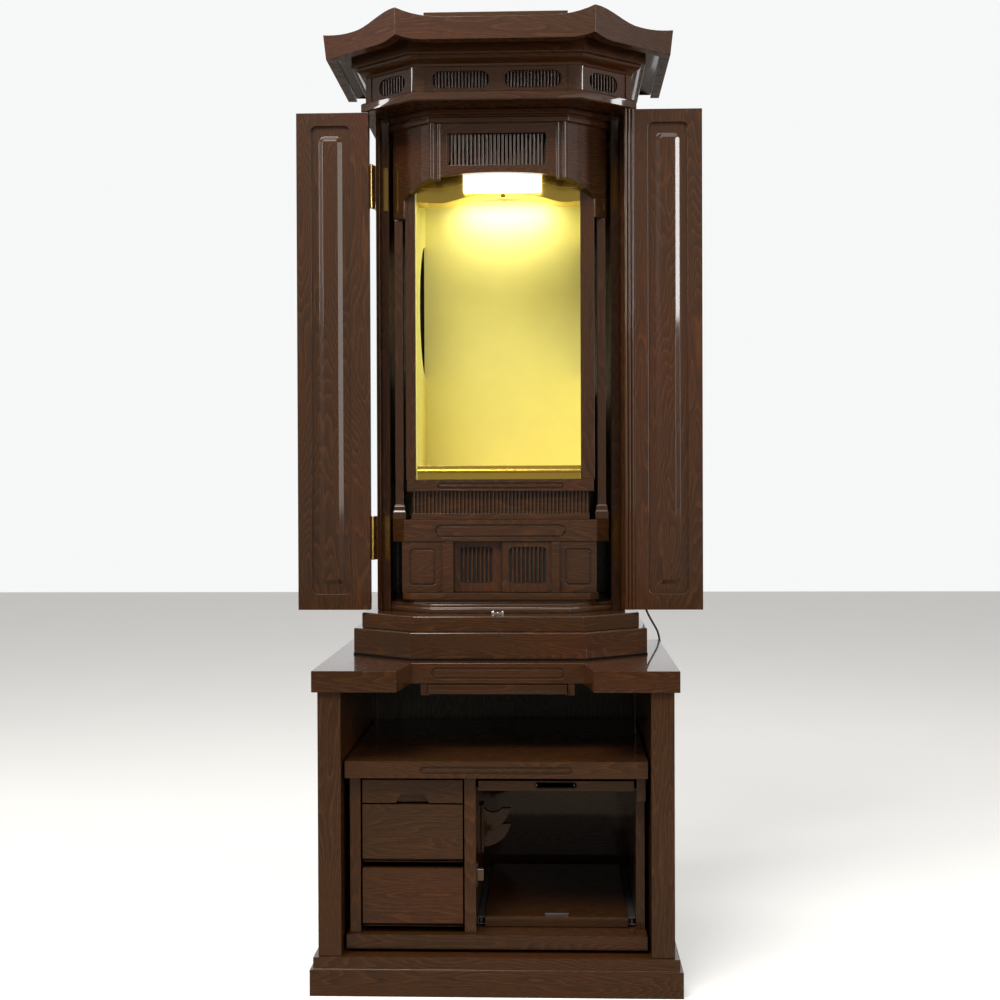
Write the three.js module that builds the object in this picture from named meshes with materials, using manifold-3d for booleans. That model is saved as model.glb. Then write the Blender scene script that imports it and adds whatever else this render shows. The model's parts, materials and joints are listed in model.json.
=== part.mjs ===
// Household altar cabinet on its stand, doors open, in millimetres.
// X runs to the right, Y to the back and Z up. The origin is under the middle of the stand.
import * as THREE from 'three';
import { mergeVertices } from 'three/addons/utils/BufferGeometryUtils.js';
import Module from 'manifold-3d';

const wasm = await Module();
wasm.setup();

// Clearances
const TOUCH = 0.3;              // left between pieces that touch
const SLIDE_GAP = 1;            // round a sliding piece

// Stand
const STAND_WIDTH = 600;
const STAND_DEPTH = 507;
const STAND_HEIGHT = 530;
const TOP_THICK = 35;
const PLINTH_PROUD = 4;
const PLINTH_LOW = 43;
const PLINTH_HIGH = 19;
const PLINTH_SET = 5;
const STAND_SIDE_THICK = 38;
const STAND_SIDE_SET = 9;       // side faces stand this far in from the top's ends
const STAND_FRONT_SET = 7;
const STAND_BACK_THICK = 10;
const STAND_BACK_SET = 4;
const RECESS_HALF = 160;        // canted recess in the front edge of the top
const RECESS_HALF_IN = 146;
const RECESS_DEPTH = 110;
const TOP_PILL_LENGTH = 228;
const TOP_PILL_HEIGHT = 20;
const GROOVE_WIDE = 4;
const GROOVE_DEEP = 2.5;

// Pull-out shelf under the top
const SHELF_HALF = 118;
const SHELF_FRONT = 100;
const SHELF_THICK = 15.5;
const SHELF_LENGTH = 300;
const GUIDE_WIDE = 12;
const GUIDE_DROP = 20;
const GUIDE_LIP = 5;

// Inner unit of the stand
const UNIT_SIDE_GAP = 4;        // between the unit's top and the stand's sides
const UNIT_FRONT = 22;
const UNIT_TOP_Z = 379;
const UNIT_TOP_THICK = 28;
const UNIT_PILL_LENGTH = 250;
const UNIT_PILL_HEIGHT = 13;
const UNIT_LEFT_SET = 6;        // left side stands this far in from the end of the unit's top
const UNIT_LEFT_THICK = 18;
const UNIT_RIGHT_SET = 3;
const UNIT_RIGHT_THICK = 15;
const UNIT_POST_SET = 18;       // side fronts behind the front of the unit's top
const UNIT_FOOT = 6;            // height of the dark gap under the unit
const FOOT_SET = 20;            // the two feet run across, this far in from the ends
const FOOT_IN = 40;
const FOOT_WIDE = 30;
const UNIT_BOTTOM_THICK = 23;
const UNIT_BOTTOM_SET = 8;
const UNIT_REAR_SET = 35;       // rear face before the stand's rear
const UNIT_BACK_THICK = 9;
const PARTITION_X = -53;
const PARTITION_THICK = 19;
const DRAWER_HEIGHTS = [99, 98, 39];      // from the bottom up
const DRAWER_JOINTS = [8, 8, 2];          // under each drawer
const DRAWER_GAP = 2.5;
const DRAWER_BEVEL = 8;
const DRAWER_SPARE = 41;        // behind the drawers
const DRAWER_WALL = 9;
const DRAWER_FRONT = 18;
const NOTCH_WIDE = 57;
const NOTCH_TOP = 39;
const NOTCH_HIGH = 14;
const STUB_LENGTH = 40;         // the right side's front reaches down only this far
const STUB_SET = 30;

// Pull-out board in the compartment, on two cleats
const BOARD_THICK = 17;
const BOARD_DROP = 7;           // under the unit's top
const BOARD_SIDE_GAP = 4;
const BOARD_LENGTH = 330;
const BOARD_PULL_WIDE = 69;
const BOARD_PULL_HIGH = 10.5;
const BOARD_PULL_DEEP = 9;
const CLEAT_WIDE = 9;
const CLEAT_THICK = 5;
const CLEAT_SET = 34;

// Pull-out tray in the compartment
const TRAY_THICK = 17;
const TRAY_SIDE = 12.7;
const TRAY_SPARE = 35;          // behind the tray
const TRAY_SET = 38;

// Hooks on the partition
const HOOK_REACH = 52;
const HOOK_HIGH = 42;
const HOOK_THICK = 12;
const HOOK_Z = 187;
const HOOK_Y = 216;
const HOOK_PLATE = 4;
const HOOK_STEP = 32;           // the upper hook over the lower one
const HOOK_SCOOP = 16;

// Six-sided plan of the upper cabinet, set by its lowest step
const CANT = THREE.MathUtils.degToRad(39.5);
const BASE_HALF = 261;
const BASE_HALF_FRONT = 152;
const BASE_FRONT = 147;
const MAT_THICK = 3;
const MAT_PROUD = 1;
const STEP_LOW = 45;
const STEP_MID = 27;
const STEP_MID_SET = 14;
const SILL_SET = 77;
const SILL_HIGH = 16;
const SILL_BEAD = 3;
const ARRIS = 1.5;

// Cabinet walls and front stiles
const WALL_OUT = 225;
const WALL_THICK = 16;
const STILE_WIDE = 25;
const STILE_SET = 74;
const STILE_DEEP = 24;
const CABINET_BACK_THICK = 10;
const DOOR_OPENING = 892;       // from the middle step to the ledge over the doors

// Lower altar
const ROW_FRONT = 262;
const LEDGE_LOW_HIGH = 12;
const LEDGE_RISE = 6;
const LEDGE_FRONT = 250;
const LEDGE_HALF = 176;
const LEDGE_HALF_FRONT = 160;
const LEDGE_INSET = 5;
const ROW_HIGH = 92;
const ROW_DEPTH = 150;
const ROW_LEFT_POST = 84;        // inner faces and widths of the two posts
const ROW_RIGHT_POST = 92;
const ROW_LEFT_WIDE = 19;
const ROW_RIGHT_WIDE = 14;
const ROW_LEFT_END = 177;
const ROW_RIGHT_END = 173;
const ROW_POST_PROUD = 8;
const ROW_REBATE = 6;
const ROW_PANEL_WIDE = 48;
const ROW_PANEL_HIGH = 67;
const SLIDING_THICK = 8;
const SLIDING_MEET = 2;
const SLIDING_TRACK = 10;
const SLIDING_POCKET = 2.5;
const SLIDING_PITCH = 7.6;
const SLIDING_SLOT = 4;
const SLIDING_SLOT_DEEP = 3;
const SLIDING_CORNER = 10;
const SLIDING_RAIL_LOW = 15;
const SLIDING_RAIL_HIGH = 9;
const SLIDING_LEFT_STILE = 12;  // widths of the frames round the slats
const SLIDING_RIGHT_STILE = 14;
const SLIDING_POST_STILE = 8;
const SECOND_FRONT = 260;
const SECOND_HALF_FRONT = 173;
const SECOND_HALF = 195;
const SECOND_THICK = 39;
const SECOND_PILL_LENGTH = 236;
const SECOND_PILL_HEIGHT = 24;
const RIB_RAIL = 11;
const RIB_RAIL_PROUD = 10;
const RIB_HIGH = 40;
const RIB_HALF = 160;
const RIB_COUNT = 47;
const RIB_FRONT = 276;
const RIB_THICK = 12;
const RIB_DEEP = 3;
const NICHE_RAIL = 21;
const NICHE_RAIL_HALF = 168;
const NICHE_RAIL_FRONT = 266;
const NICHE_PILL_LENGTH = 228;
const NICHE_PILL_HEIGHT = 12;

// Inner posts
const POST_X = 183;
const POST_SIDE = 15;
const POST_Y = 290;
const POST_BLOCK_WIDE = 24;
const POST_BLOCK_HIGH = 27;

// Gold niche
const NICHE_HALF = 150;
const NICHE_WALL = 17;
const NICHE_FRONT = 275;
const NICHE_BACK_SET = 37;      // gold back before the cabinet's rear
const NICHE_TOP_DROP = 57;      // drops are measured down from the ledge over the doors
const GOLD_THICK = 3;
const NICHE_LIP_LEFT = 1;       // front edges of the walls, past the gold sides' outer faces
const NICHE_LIP_RIGHT = 8;
const NICHE_LIP_DEEP = 2;
const THRESHOLD_LOW = 12;
const THRESHOLD_BEAD = 6;
const THRESHOLD_HIGH = 25;
const THRESHOLD_PROUD = 6;
const REACH_HOLE_RADIUS = 126;
const REACH_HOLE_DROP = 332;
const ARCH_DEEP = 54;
const ARCH_X = 6;               // the arch and the lamp hang a little to the right
const ARCH_MID_DROP = 139;
const ARCH_DIP_DROP = 156;
const ARCH_TOP_DROP = 85;
const ARCH_DIP_X = 111;
const ARCH_END_LIFT = 2.5;
const ARCH_LINE_RISE = 25;      // height of the line along the arch's face
const ARCH_LINE_DEEP = 2;
const LAMP_WIDE = 140.5;
const LAMP_DROP = 140;
const LAMP_HIGH = 36;
const LAMP_DEEP = 20;
// Valance over the niche
const VALANCE_SET = 83;
const VALANCE_THICK = 16;
const VALANCE_TOP_DROP = 25;
const VALANCE_MID_DROP = 111;
const VALANCE_SIDE_DROP = 117;
const VALANCE_HALF = 103;
const VALANCE_COLUMN_DROP = 123;
const VALANCE_RETURN = 44;      // the moulding runs on this far behind the panel
const VALANCE_REAR = 40;        // and this far behind the niche's front at its ends
const VALANCE_ROOF = 8;         // thickness left over the hollow
const VALANCE_CHEEK = 12;
const WING_BEND_DROP = 145;
const WING_LEG_DROP = 156;
const WING_FOOT_DROP = 185;
const WING_LEG_WIDE = 21;
const VALANCE_WING_END = 193;
const BEAD_THIN_R = 3.5;
const BEAD_WIDE_R = 5;
const GRILLE_HALF = 88.5;
const GRILLE_X = -3;
const GRILLE_LOW_DROP = 98;
const GRILLE_HIGH_DROP = 42;
const GRILLE_CORNER = 4;
const GRILLE_POCKET = 6;
const GRILLE_PITCH = 7;
const GRILLE_SLOT = 2.4;
const GRILLE_DEEP = 4;
const MOULD_LOW = 12;
const MOULD_HIGH = 10;
// Transom box with grilles, cornice and roof
const LEDGE_HIGH = 16;
const LEDGE_SET = 16;
const TRANSOM_SET = 24;
const TRANSOM_HIGH = 44;
const TRANSOM_SLOT_RISE = 7;
const TRANSOM_SLOT_HIGH = 30;
const TRANSOM_SLOT_IN = 12;
const TRANSOM_SLOT_OUT = 113;
const TRANSOM_PITCH = 5.8;
const TRANSOM_GAP = 3;
const TRANSOM_DEEP = 6;
const TRANSOM_POCKET = 3;
const TRANSOM_SUNK = 2;         // panels behind their corner posts
const TRANSOM_POST = 19;
const CANT_POST_FRONT = 9;
const CANT_POST_REAR = 14;
const CANT_SLOT_START = 24;
const CANT_SLOT_END = 32;
const CORNICE_FLARE = 16;
const CORNICE_SET = 8;
const CORNICE_HIGH = 24;
const ROOF_OUT = 47;
const FASCIA_THICK = 22;
const FASCIA_HANG = 13.5;       // under the cornice's top
const FASCIA_HIGH = 37.5;       // heights of the fascia at its middle, flanks, hips and tips
const FLANK_HIGH = 34.5;
const HIP_HIGH = 54.5;
const TIP_HIGH = 43.5;
const HIP_LIFT = 9;
const HIP_REACH = 95;
const TIP_LEAN = 5;
const SLAB_HIGH = 15;
const CAP_HALF = 123;
const CAP_FRONT = 130;
const CAP_REAR_SET = 17;
// Folding doors
const LEAF_THICK = 22;
const LEAF_SET = 50;            // outer face of the closed leaves
const LEAF_CANT = 127.6;        // from the pin to the folding corner
const LEAF_RISE = 5.5;          // over the middle step
const LEAF_DROP = 2.5;          // under the ledge
const PIN_GAP = 4.4;            // from the pin to the hinge edge of the side leaf
const FOLD_GAP = 3;             // between the folded leaves
const MEET_X = -4;              // where the closed front leaves meet
const MEET_GAP = 0.6;
const MITRE_GAP = 0.3;
const REED_COUNT = 3;
const REED_WIDE = 6.1;
const REED_PROUD = 3;
const PANEL_FOLD_MARGIN = 26;
const PANEL_WIDE = 70;
const PANEL_MARGIN_LOW = 27.5;
const PANEL_MARGIN_HIGH = 23.5;
const PANEL_RADIUS = 10;
const FIELD_SIDE = 14;          // sunk margin round the raised field
const FIELD_END = 18;
const FIELD_BEVEL = 8;
const PANEL_DEEP = 5;
const HINGE_RISE = 126.5;       // from the leaves' lower edge
const HINGE_FALL = 121.5;       // from their upper edge
const HINGE_LONG = 79;
const HINGE_RADIUS = 3.8;
const HINGE_PLATE = 2;
const HINGE_REACH = 22;
// Cord of the lamp
const CORD_R = 2;
const CORD_SIDES = 8;
const CORD_STEPS = 64;
const RELIEF_LONG = 26;
const RELIEF_R = 4.5;
const CORD_EXIT_Z = 640;
const CORD_EXIT_SET = 9;        // before the cabinet's rear
const COIL_R = 22;
const COIL_X = 215;
const COIL_BEHIND = 46;         // behind the stand
const COIL_HALF_WIDE = 4.3;      // two turns side by side
const COIL_HALF_HIGH = 10.6;
const PLUG_LONG = 34;
const PLUG_WIDE = 24;
const PLUG_THICK = 14;

// Places that follow from the sizes
const MIDDLE_Y = (STAND_DEPTH - PLINTH_PROUD) / 2;
const HALF = STAND_WIDTH / 2;
const FLOOR_Z = PLINTH_LOW + PLINTH_HIGH;
const TOP_UNDER = STAND_HEIGHT - TOP_THICK;
const SIDE_OUT = HALF - STAND_SIDE_SET;
const SIDE_IN = SIDE_OUT - STAND_SIDE_THICK;
const UNIT_HALF = SIDE_IN - UNIT_SIDE_GAP;
const MAT_Z = STAND_HEIGHT;
const LOW_Z = MAT_Z + MAT_THICK;
const MID_Z = LOW_Z + STEP_LOW;
const SILL_Z = MID_Z + STEP_MID;
const SILL_TOP = SILL_Z + SILL_HIGH;
const ROW_Z = SILL_TOP + LEDGE_RISE + LEDGE_LOW_HIGH;
const SECOND_Z = ROW_Z + ROW_HIGH;
const RIB_Z = SECOND_Z + SECOND_THICK;
const NICHE_RAIL_Z = RIB_Z + RIB_RAIL + RIB_HIGH;
const NICHE_Z = NICHE_RAIL_Z + NICHE_RAIL;
const LEDGE_Z = SILL_Z + DOOR_OPENING;
const CORNICE_Z = LEDGE_Z + LEDGE_HIGH + TRANSOM_HIGH;
const CORNICE_TOP = CORNICE_Z + CORNICE_FLARE + CORNICE_HIGH;
const LEAF_LOW = SILL_Z + LEAF_RISE;
const LEAF_HIGH = LEDGE_Z - LEAF_DROP;
const HINGE_HEIGHTS = [LEAF_LOW + HINGE_RISE, LEAF_HIGH - HINGE_FALL];
const CABINET_REAR = STAND_DEPTH;
const NICHE_BACK = CABINET_REAR - NICHE_BACK_SET;
const NICHE_TOP = LEDGE_Z - NICHE_TOP_DROP;
const VALANCE_TOP = LEDGE_Z - VALANCE_TOP_DROP;
const VALANCE_COLUMN_Z = LEDGE_Z - VALANCE_COLUMN_DROP;
const WING_FOOT_Z = LEDGE_Z - WING_FOOT_DROP;
const FASCIA_LOW = CORNICE_TOP - FASCIA_HANG;
const FASCIA_MID = FASCIA_LOW + FASCIA_HIGH;
const FLANK_LOW = FASCIA_LOW + FLANK_HIGH;
const HIP_TOP = FASCIA_LOW + HIP_HIGH;
const TIP_TOP = FASCIA_LOW + TIP_HIGH;
const SLAB_TOP = CORNICE_TOP + SLAB_HIGH;
const UNIT_UNDER = UNIT_TOP_Z - UNIT_TOP_THICK;
const UNIT_FLOOR = FLOOR_Z + UNIT_FOOT + UNIT_BOTTOM_THICK;
const STILE_IN = WALL_OUT - STILE_WIDE;
const UNIT_POST_Y = UNIT_FRONT + UNIT_POST_SET;
const UNIT_REAR = STAND_DEPTH - UNIT_REAR_SET;
const DRAWER_Y = UNIT_POST_Y + 2;
const DRAWER_DEPTH = UNIT_REAR - UNIT_BACK_THICK - DRAWER_SPARE - DRAWER_Y;
const TRAY_Y = UNIT_POST_Y + TRAY_SET;
const TRAY_LENGTH = UNIT_REAR - UNIT_BACK_THICK - TRAY_SPARE - TRAY_Y;

const group = new THREE.Group();

// Materials
function finish(color, roughness, metalness) {
  return () => new THREE.MeshStandardMaterial({ color, roughness, metalness });
}
const darkWood = finish(0x3a261c, 0.32, 0);
const innerWood = finish(0x2c1e18, 0.4, 0);
const gold = finish(0xd8bf55, 0.35, 0.8);
const brass = finish(0xd2a432, 0.25, 1);
const black = finish(0x141414, 0.6, 0);
const lit = finish(0xfffbe8, 0.5, 0);

// Adds one named solid, moved from depths behind the stand's front to the part's own frame
function add(name, geometry, material) {
  const mesh = new THREE.Mesh(geometry, material());
  mesh.name = name;
  mesh.position.set(0, -MIDDLE_Y, 0);
  group.add(mesh);
}

// Booleans
function toSolid(geometry) {
  const bare = geometry.index ? geometry.toNonIndexed() : geometry.clone();
  bare.deleteAttribute('normal');
  bare.deleteAttribute('uv');
  const merged = mergeVertices(bare, 1e-4);
  return new wasm.Manifold(new wasm.Mesh({
    numProp: 3,
    vertProperties: new Float32Array(merged.attributes.position.array),
    triVerts: new Uint32Array(merged.index.array),
  }));
}
function toGeometry(solid) {
  const mesh = solid.getMesh();
  const geometry = new THREE.BufferGeometry();
  geometry.setAttribute('position', new THREE.BufferAttribute(new Float32Array(mesh.vertProperties), 3));
  geometry.setIndex(new THREE.BufferAttribute(new Uint32Array(mesh.triVerts), 1));
  geometry.computeVertexNormals();
  return geometry;
}
function join(...geometries) {
  const solids = geometries.map(toSolid);
  return toGeometry(solids.slice(1).reduce((whole, piece) => whole.add(piece), solids[0]));
}
function cut(geometry, ...tools) {
  return toGeometry(tools.map(toSolid).reduce((whole, tool) => whole.subtract(tool), toSolid(geometry)));
}
function keep(geometry, limit) {
  return toGeometry(toSolid(geometry).intersect(toSolid(limit)));
}

// Plain shapes
function box(x0, x1, y0, y1, z0, z1) {
  const geometry = new THREE.BoxGeometry(x1 - x0, y1 - y0, z1 - z0);
  return geometry.translate((x0 + x1) / 2, (y0 + y1) / 2, (z0 + z1) / 2);
}
function prism(points, z0, z1) {
  const shape = new THREE.Shape(points.map(([x, y]) => new THREE.Vector2(x, y)));
  const geometry = new THREE.ExtrudeGeometry(shape, { depth: z1 - z0, bevelEnabled: false });
  return geometry.translate(0, 0, z0);
}
// An upright outline in X and Z, given its thickness from y0 to y1
function upright(shape, y0, y1, segments = 6) {
  const geometry = new THREE.ExtrudeGeometry(shape, {
    depth: y1 - y0, bevelEnabled: false, curveSegments: segments,
  });
  return geometry.rotateX(Math.PI / 2).translate(0, y1, 0);
}
function roundedPoints(x0, x1, z0, z1, radius, steps) {
  const r = Math.min(radius, (x1 - x0) / 2 - 0.01, (z1 - z0) / 2 - 0.01);
  const centres = [[x1 - r, z0 + r, -0.5], [x1 - r, z1 - r, 0], [x0 + r, z1 - r, 0.5], [x0 + r, z0 + r, 1]];
  return centres.flatMap(([x, z, start]) => Array.from({ length: steps + 1 }, (_, i) => {
    const angle = (start + (i / steps) / 2) * Math.PI;
    return [x + r * Math.cos(angle), z + r * Math.sin(angle)];
  }));
}
function roundedRect(x0, x1, z0, z1, radius, steps = 4) {
  const points = roundedPoints(x0, x1, z0, z1, radius, steps);
  return new THREE.Shape(points.map(([x, z]) => new THREE.Vector2(x, z)));
}
// An outline in Y and Z, given its length from x0 to x1
function sideways(points, x0, x1) {
  const shape = new THREE.Shape(points.map(([y, z]) => new THREE.Vector2(y, z)));
  const geometry = new THREE.ExtrudeGeometry(shape, { depth: x1 - x0, bevelEnabled: false });
  return geometry.applyMatrix4(new THREE.Matrix4().set(0, 0, 1, x0, 1, 0, 0, 0, 0, 1, 0, 0, 0, 0, 0, 1));
}
// The sunk line round a rounded panel, open at the front face
function groove(x0, x1, z0, z1, radius, wide, front, deep, segments = 4) {
  const outer = upright(roundedRect(x0, x1, z0, z1, radius, segments), front - 1, front + deep);
  const inner = upright(
    roundedRect(x0 + wide, x1 - wide, z0 + wide, z1 - wide, Math.max(radius - wide, 1), segments),
    front - 2, front + deep + 1,
  );
  return cut(outer, inner);
}
function pill(length, height, z, front) {
  const high = height / 2;
  return groove(-length / 2, length / 2, z - high, z + high, high, GROOVE_WIDE, front, GROOVE_DEEP);
}

// Six-sided plan, drawn in from the lowest step by d
function plan(d, rear = CABINET_REAR) {
  const halfFront = BASE_HALF_FRONT - d * Math.tan(CANT / 2);
  const front = BASE_FRONT + d;
  const half = BASE_HALF - d;
  const cantEnd = front + (half - halfFront) * Math.tan(CANT);
  return [
    [-halfFront, front],
    [halfFront, front],
    [half, cantEnd],
    [half, rear],
    [-half, rear],
    [-half, cantEnd],
  ];
}
// A solid with plans of equal count stacked upwards or inwards, row by row
function loft(rows) {
  const count = rows[0].points.length;
  const position = rows.flatMap(({ points, z }) => points.flatMap(([x, y]) => [x, y, z]));
  const index = [];
  for (let r = 0; r + 1 < rows.length; r += 1) {
    for (let i = 0; i < count; i += 1) {
      const a = r * count + i;
      const b = r * count + ((i + 1) % count);
      index.push(a, b, b + count, a, b + count, a + count);
    }
  }
  const flat = (points) => points.map(([x, y]) => new THREE.Vector2(x, y));
  const last = (rows.length - 1) * count;
  for (const [a, b, c] of THREE.ShapeUtils.triangulateShape(flat(rows[0].points), [])) {
    index.push(a, c, b);
  }
  for (const [a, b, c] of THREE.ShapeUtils.triangulateShape(flat(rows[rows.length - 1].points), [])) {
    index.push(last + a, last + b, last + c);
  }
  const geometry = new THREE.BufferGeometry();
  geometry.setAttribute('position', new THREE.Float32BufferAttribute(position, 3));
  geometry.setIndex(index);
  return geometry;
}
function planLoft(profile, rear = CABINET_REAR) {
  return loft(profile.map(([d, z]) => ({ points: plan(d, rear), z })));
}
// A shelf's plan with canted ends
function canted(halfFront, half, front, rear) {
  const cantEnd = front + (half - halfFront) * Math.tan(CANT);
  return [
    [-halfFront, front], [halfFront, front], [half, cantEnd],
    [half, rear], [-half, rear], [-half, cantEnd],
  ];
}
// The same plan, with its canted faces drawn on to a given half width
function wide(d, half, rear) {
  const [, [halfFront, front]] = plan(d);
  return canted(halfFront, half, front, rear);
}
function wideLoft(profile, half, rear) {
  return loft(profile.map(([d, z]) => ({ points: wide(d, half, rear), z })));
}
// A board swept along stations, each with its four corners in order
function sweep(stations) {
  const position = stations.flat(2);
  const index = [];
  for (let s = 0; s + 1 < stations.length; s += 1) {
    for (let i = 0; i < 4; i += 1) {
      const a = s * 4 + i;
      const b = s * 4 + ((i + 1) % 4);
      index.push(a, b, b + 4, a, b + 4, a + 4);
    }
  }
  const last = (stations.length - 1) * 4;
  index.push(0, 2, 1, 0, 3, 2, last, last + 1, last + 2, last, last + 2, last + 3);
  const geometry = new THREE.BufferGeometry();
  geometry.setAttribute('position', new THREE.Float32BufferAttribute(position, 3));
  geometry.setIndex(index);
  return geometry;
}
// Slots between the slats of a grille, inside a rounded opening
function slots(x0, x1, z0, z1, radius, pitch, gap, front, deep) {
  const count = Math.floor((x1 - x0 - gap) / pitch) + 1;
  const first = (x0 + x1) / 2 - ((count - 1) * pitch) / 2;
  const bars = [];
  for (let i = 0; i < count; i += 1) {
    const x = first + i * pitch;
    const inset = Math.max(radius - Math.min(x - x0, x1 - x), 0);
    const lift = radius - Math.sqrt(Math.max(radius * radius - inset * inset, 0));
    if (z1 - z0 > 2 * lift + gap) {
      bars.push(box(x - gap / 2, x + gap / 2, front - 1, front + deep, z0 + lift, z1 - lift));
    }
  }
  return bars;
}
// The opening of a grille with the slots between its slats, which stand back by the pocket's depth
function grille(x0, x1, z0, z1, radius, pitch, gap, front, pocket, deep) {
  const opening = upright(roundedRect(x0, x1, z0, z1, radius, 3), front - 1, front + pocket);
  const inner = radius - 1;
  return [opening, ...slots(x0 + 1, x1 - 1, z0 + 1, z1 - 1, inner, pitch, gap, front + pocket, deep)];
}
// A drawer with its front at y, open above, the lower edge of its face bevelled back
function drawer(x0, x1, y, z0, z1, bevel) {
  const wall = DRAWER_WALL;
  const body = box(x0 + 1, x1 - 1, y + DRAWER_FRONT / 2, y + DRAWER_DEPTH, z0 + 1, z1 - 6);
  const hollow = box(x0 + wall, x1 - wall, y + DRAWER_FRONT, y + DRAWER_DEPTH - wall, z0 + wall, z1 + 1);
  const face = sideways([
    [y, z0 + bevel], [y + bevel * 1.4, z0], [y + DRAWER_FRONT, z0], [y + DRAWER_FRONT, z1], [y, z1],
  ], x0, x1);
  return join(face, cut(body, hollow));
}

// Stand
function stand() {
  const low = box(-HALF - PLINTH_PROUD, HALF + PLINTH_PROUD, -PLINTH_PROUD, STAND_DEPTH, 0, PLINTH_LOW);
  const out = HALF + PLINTH_PROUD - PLINTH_SET;
  const high = box(-out, out, PLINTH_SET - PLINTH_PROUD, STAND_DEPTH, PLINTH_LOW - 1, FLOOR_Z);
  add('stand_plinth', join(low, high), darkWood);

  for (const [name, side] of [['stand_side_left', -1], ['stand_side_right', 1]]) {
    const [x0, x1] = side < 0 ? [-SIDE_OUT, -SIDE_IN] : [SIDE_IN, SIDE_OUT];
    add(name, box(x0, x1, STAND_FRONT_SET, STAND_DEPTH - 2, FLOOR_Z + TOUCH, TOP_UNDER - TOUCH), darkWood);
  }
  const back = STAND_DEPTH - STAND_BACK_SET;
  const backIn = SIDE_IN - TOUCH;
  const backBoard = box(-backIn, backIn, back - STAND_BACK_THICK, back, FLOOR_Z + TOUCH, TOP_UNDER - TOUCH);
  add('stand_back', backBoard, innerWood);

  const outline = [
    [-HALF, 0], [-RECESS_HALF, 0], [-RECESS_HALF_IN, RECESS_DEPTH], [RECESS_HALF_IN, RECESS_DEPTH],
    [RECESS_HALF, 0], [HALF, 0], [HALF, STAND_DEPTH], [-HALF, STAND_DEPTH],
  ];
  const board = prism(outline, TOP_UNDER, STAND_HEIGHT);
  const face = pill(TOP_PILL_LENGTH, TOP_PILL_HEIGHT, TOP_UNDER + TOP_THICK / 2, RECESS_DEPTH);
  const guides = [-1, 1].map((side) => {
    const inX = SHELF_HALF + SLIDE_GAP;
    const outX = inX + GUIDE_WIDE;
    const lipX = inX - GUIDE_LIP;
    const [a, b] = side < 0 ? [-outX, -inX] : [inX, outX];
    const [c, d] = side < 0 ? [-outX, -lipX] : [lipX, outX];
    const bottom = TOP_UNDER - GUIDE_DROP;
    const lipTop = TOP_UNDER - SHELF_THICK - SLIDE_GAP * 2;
    const y0 = RECESS_DEPTH + SLIDE_GAP;
    const y1 = SHELF_FRONT + SHELF_LENGTH;
    return join(box(a, b, y0, y1, bottom, TOP_UNDER + 1), box(c, d, y0, y1, bottom, lipTop));
  });
  add('stand_top', join(cut(board, face), ...guides), darkWood);

  const shelfTop = TOP_UNDER - SLIDE_GAP;
  add('slide_shelf', box(
    -SHELF_HALF, SHELF_HALF, SHELF_FRONT, SHELF_FRONT + SHELF_LENGTH, shelfTop - SHELF_THICK, shelfTop,
  ), darkWood);
}

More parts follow.
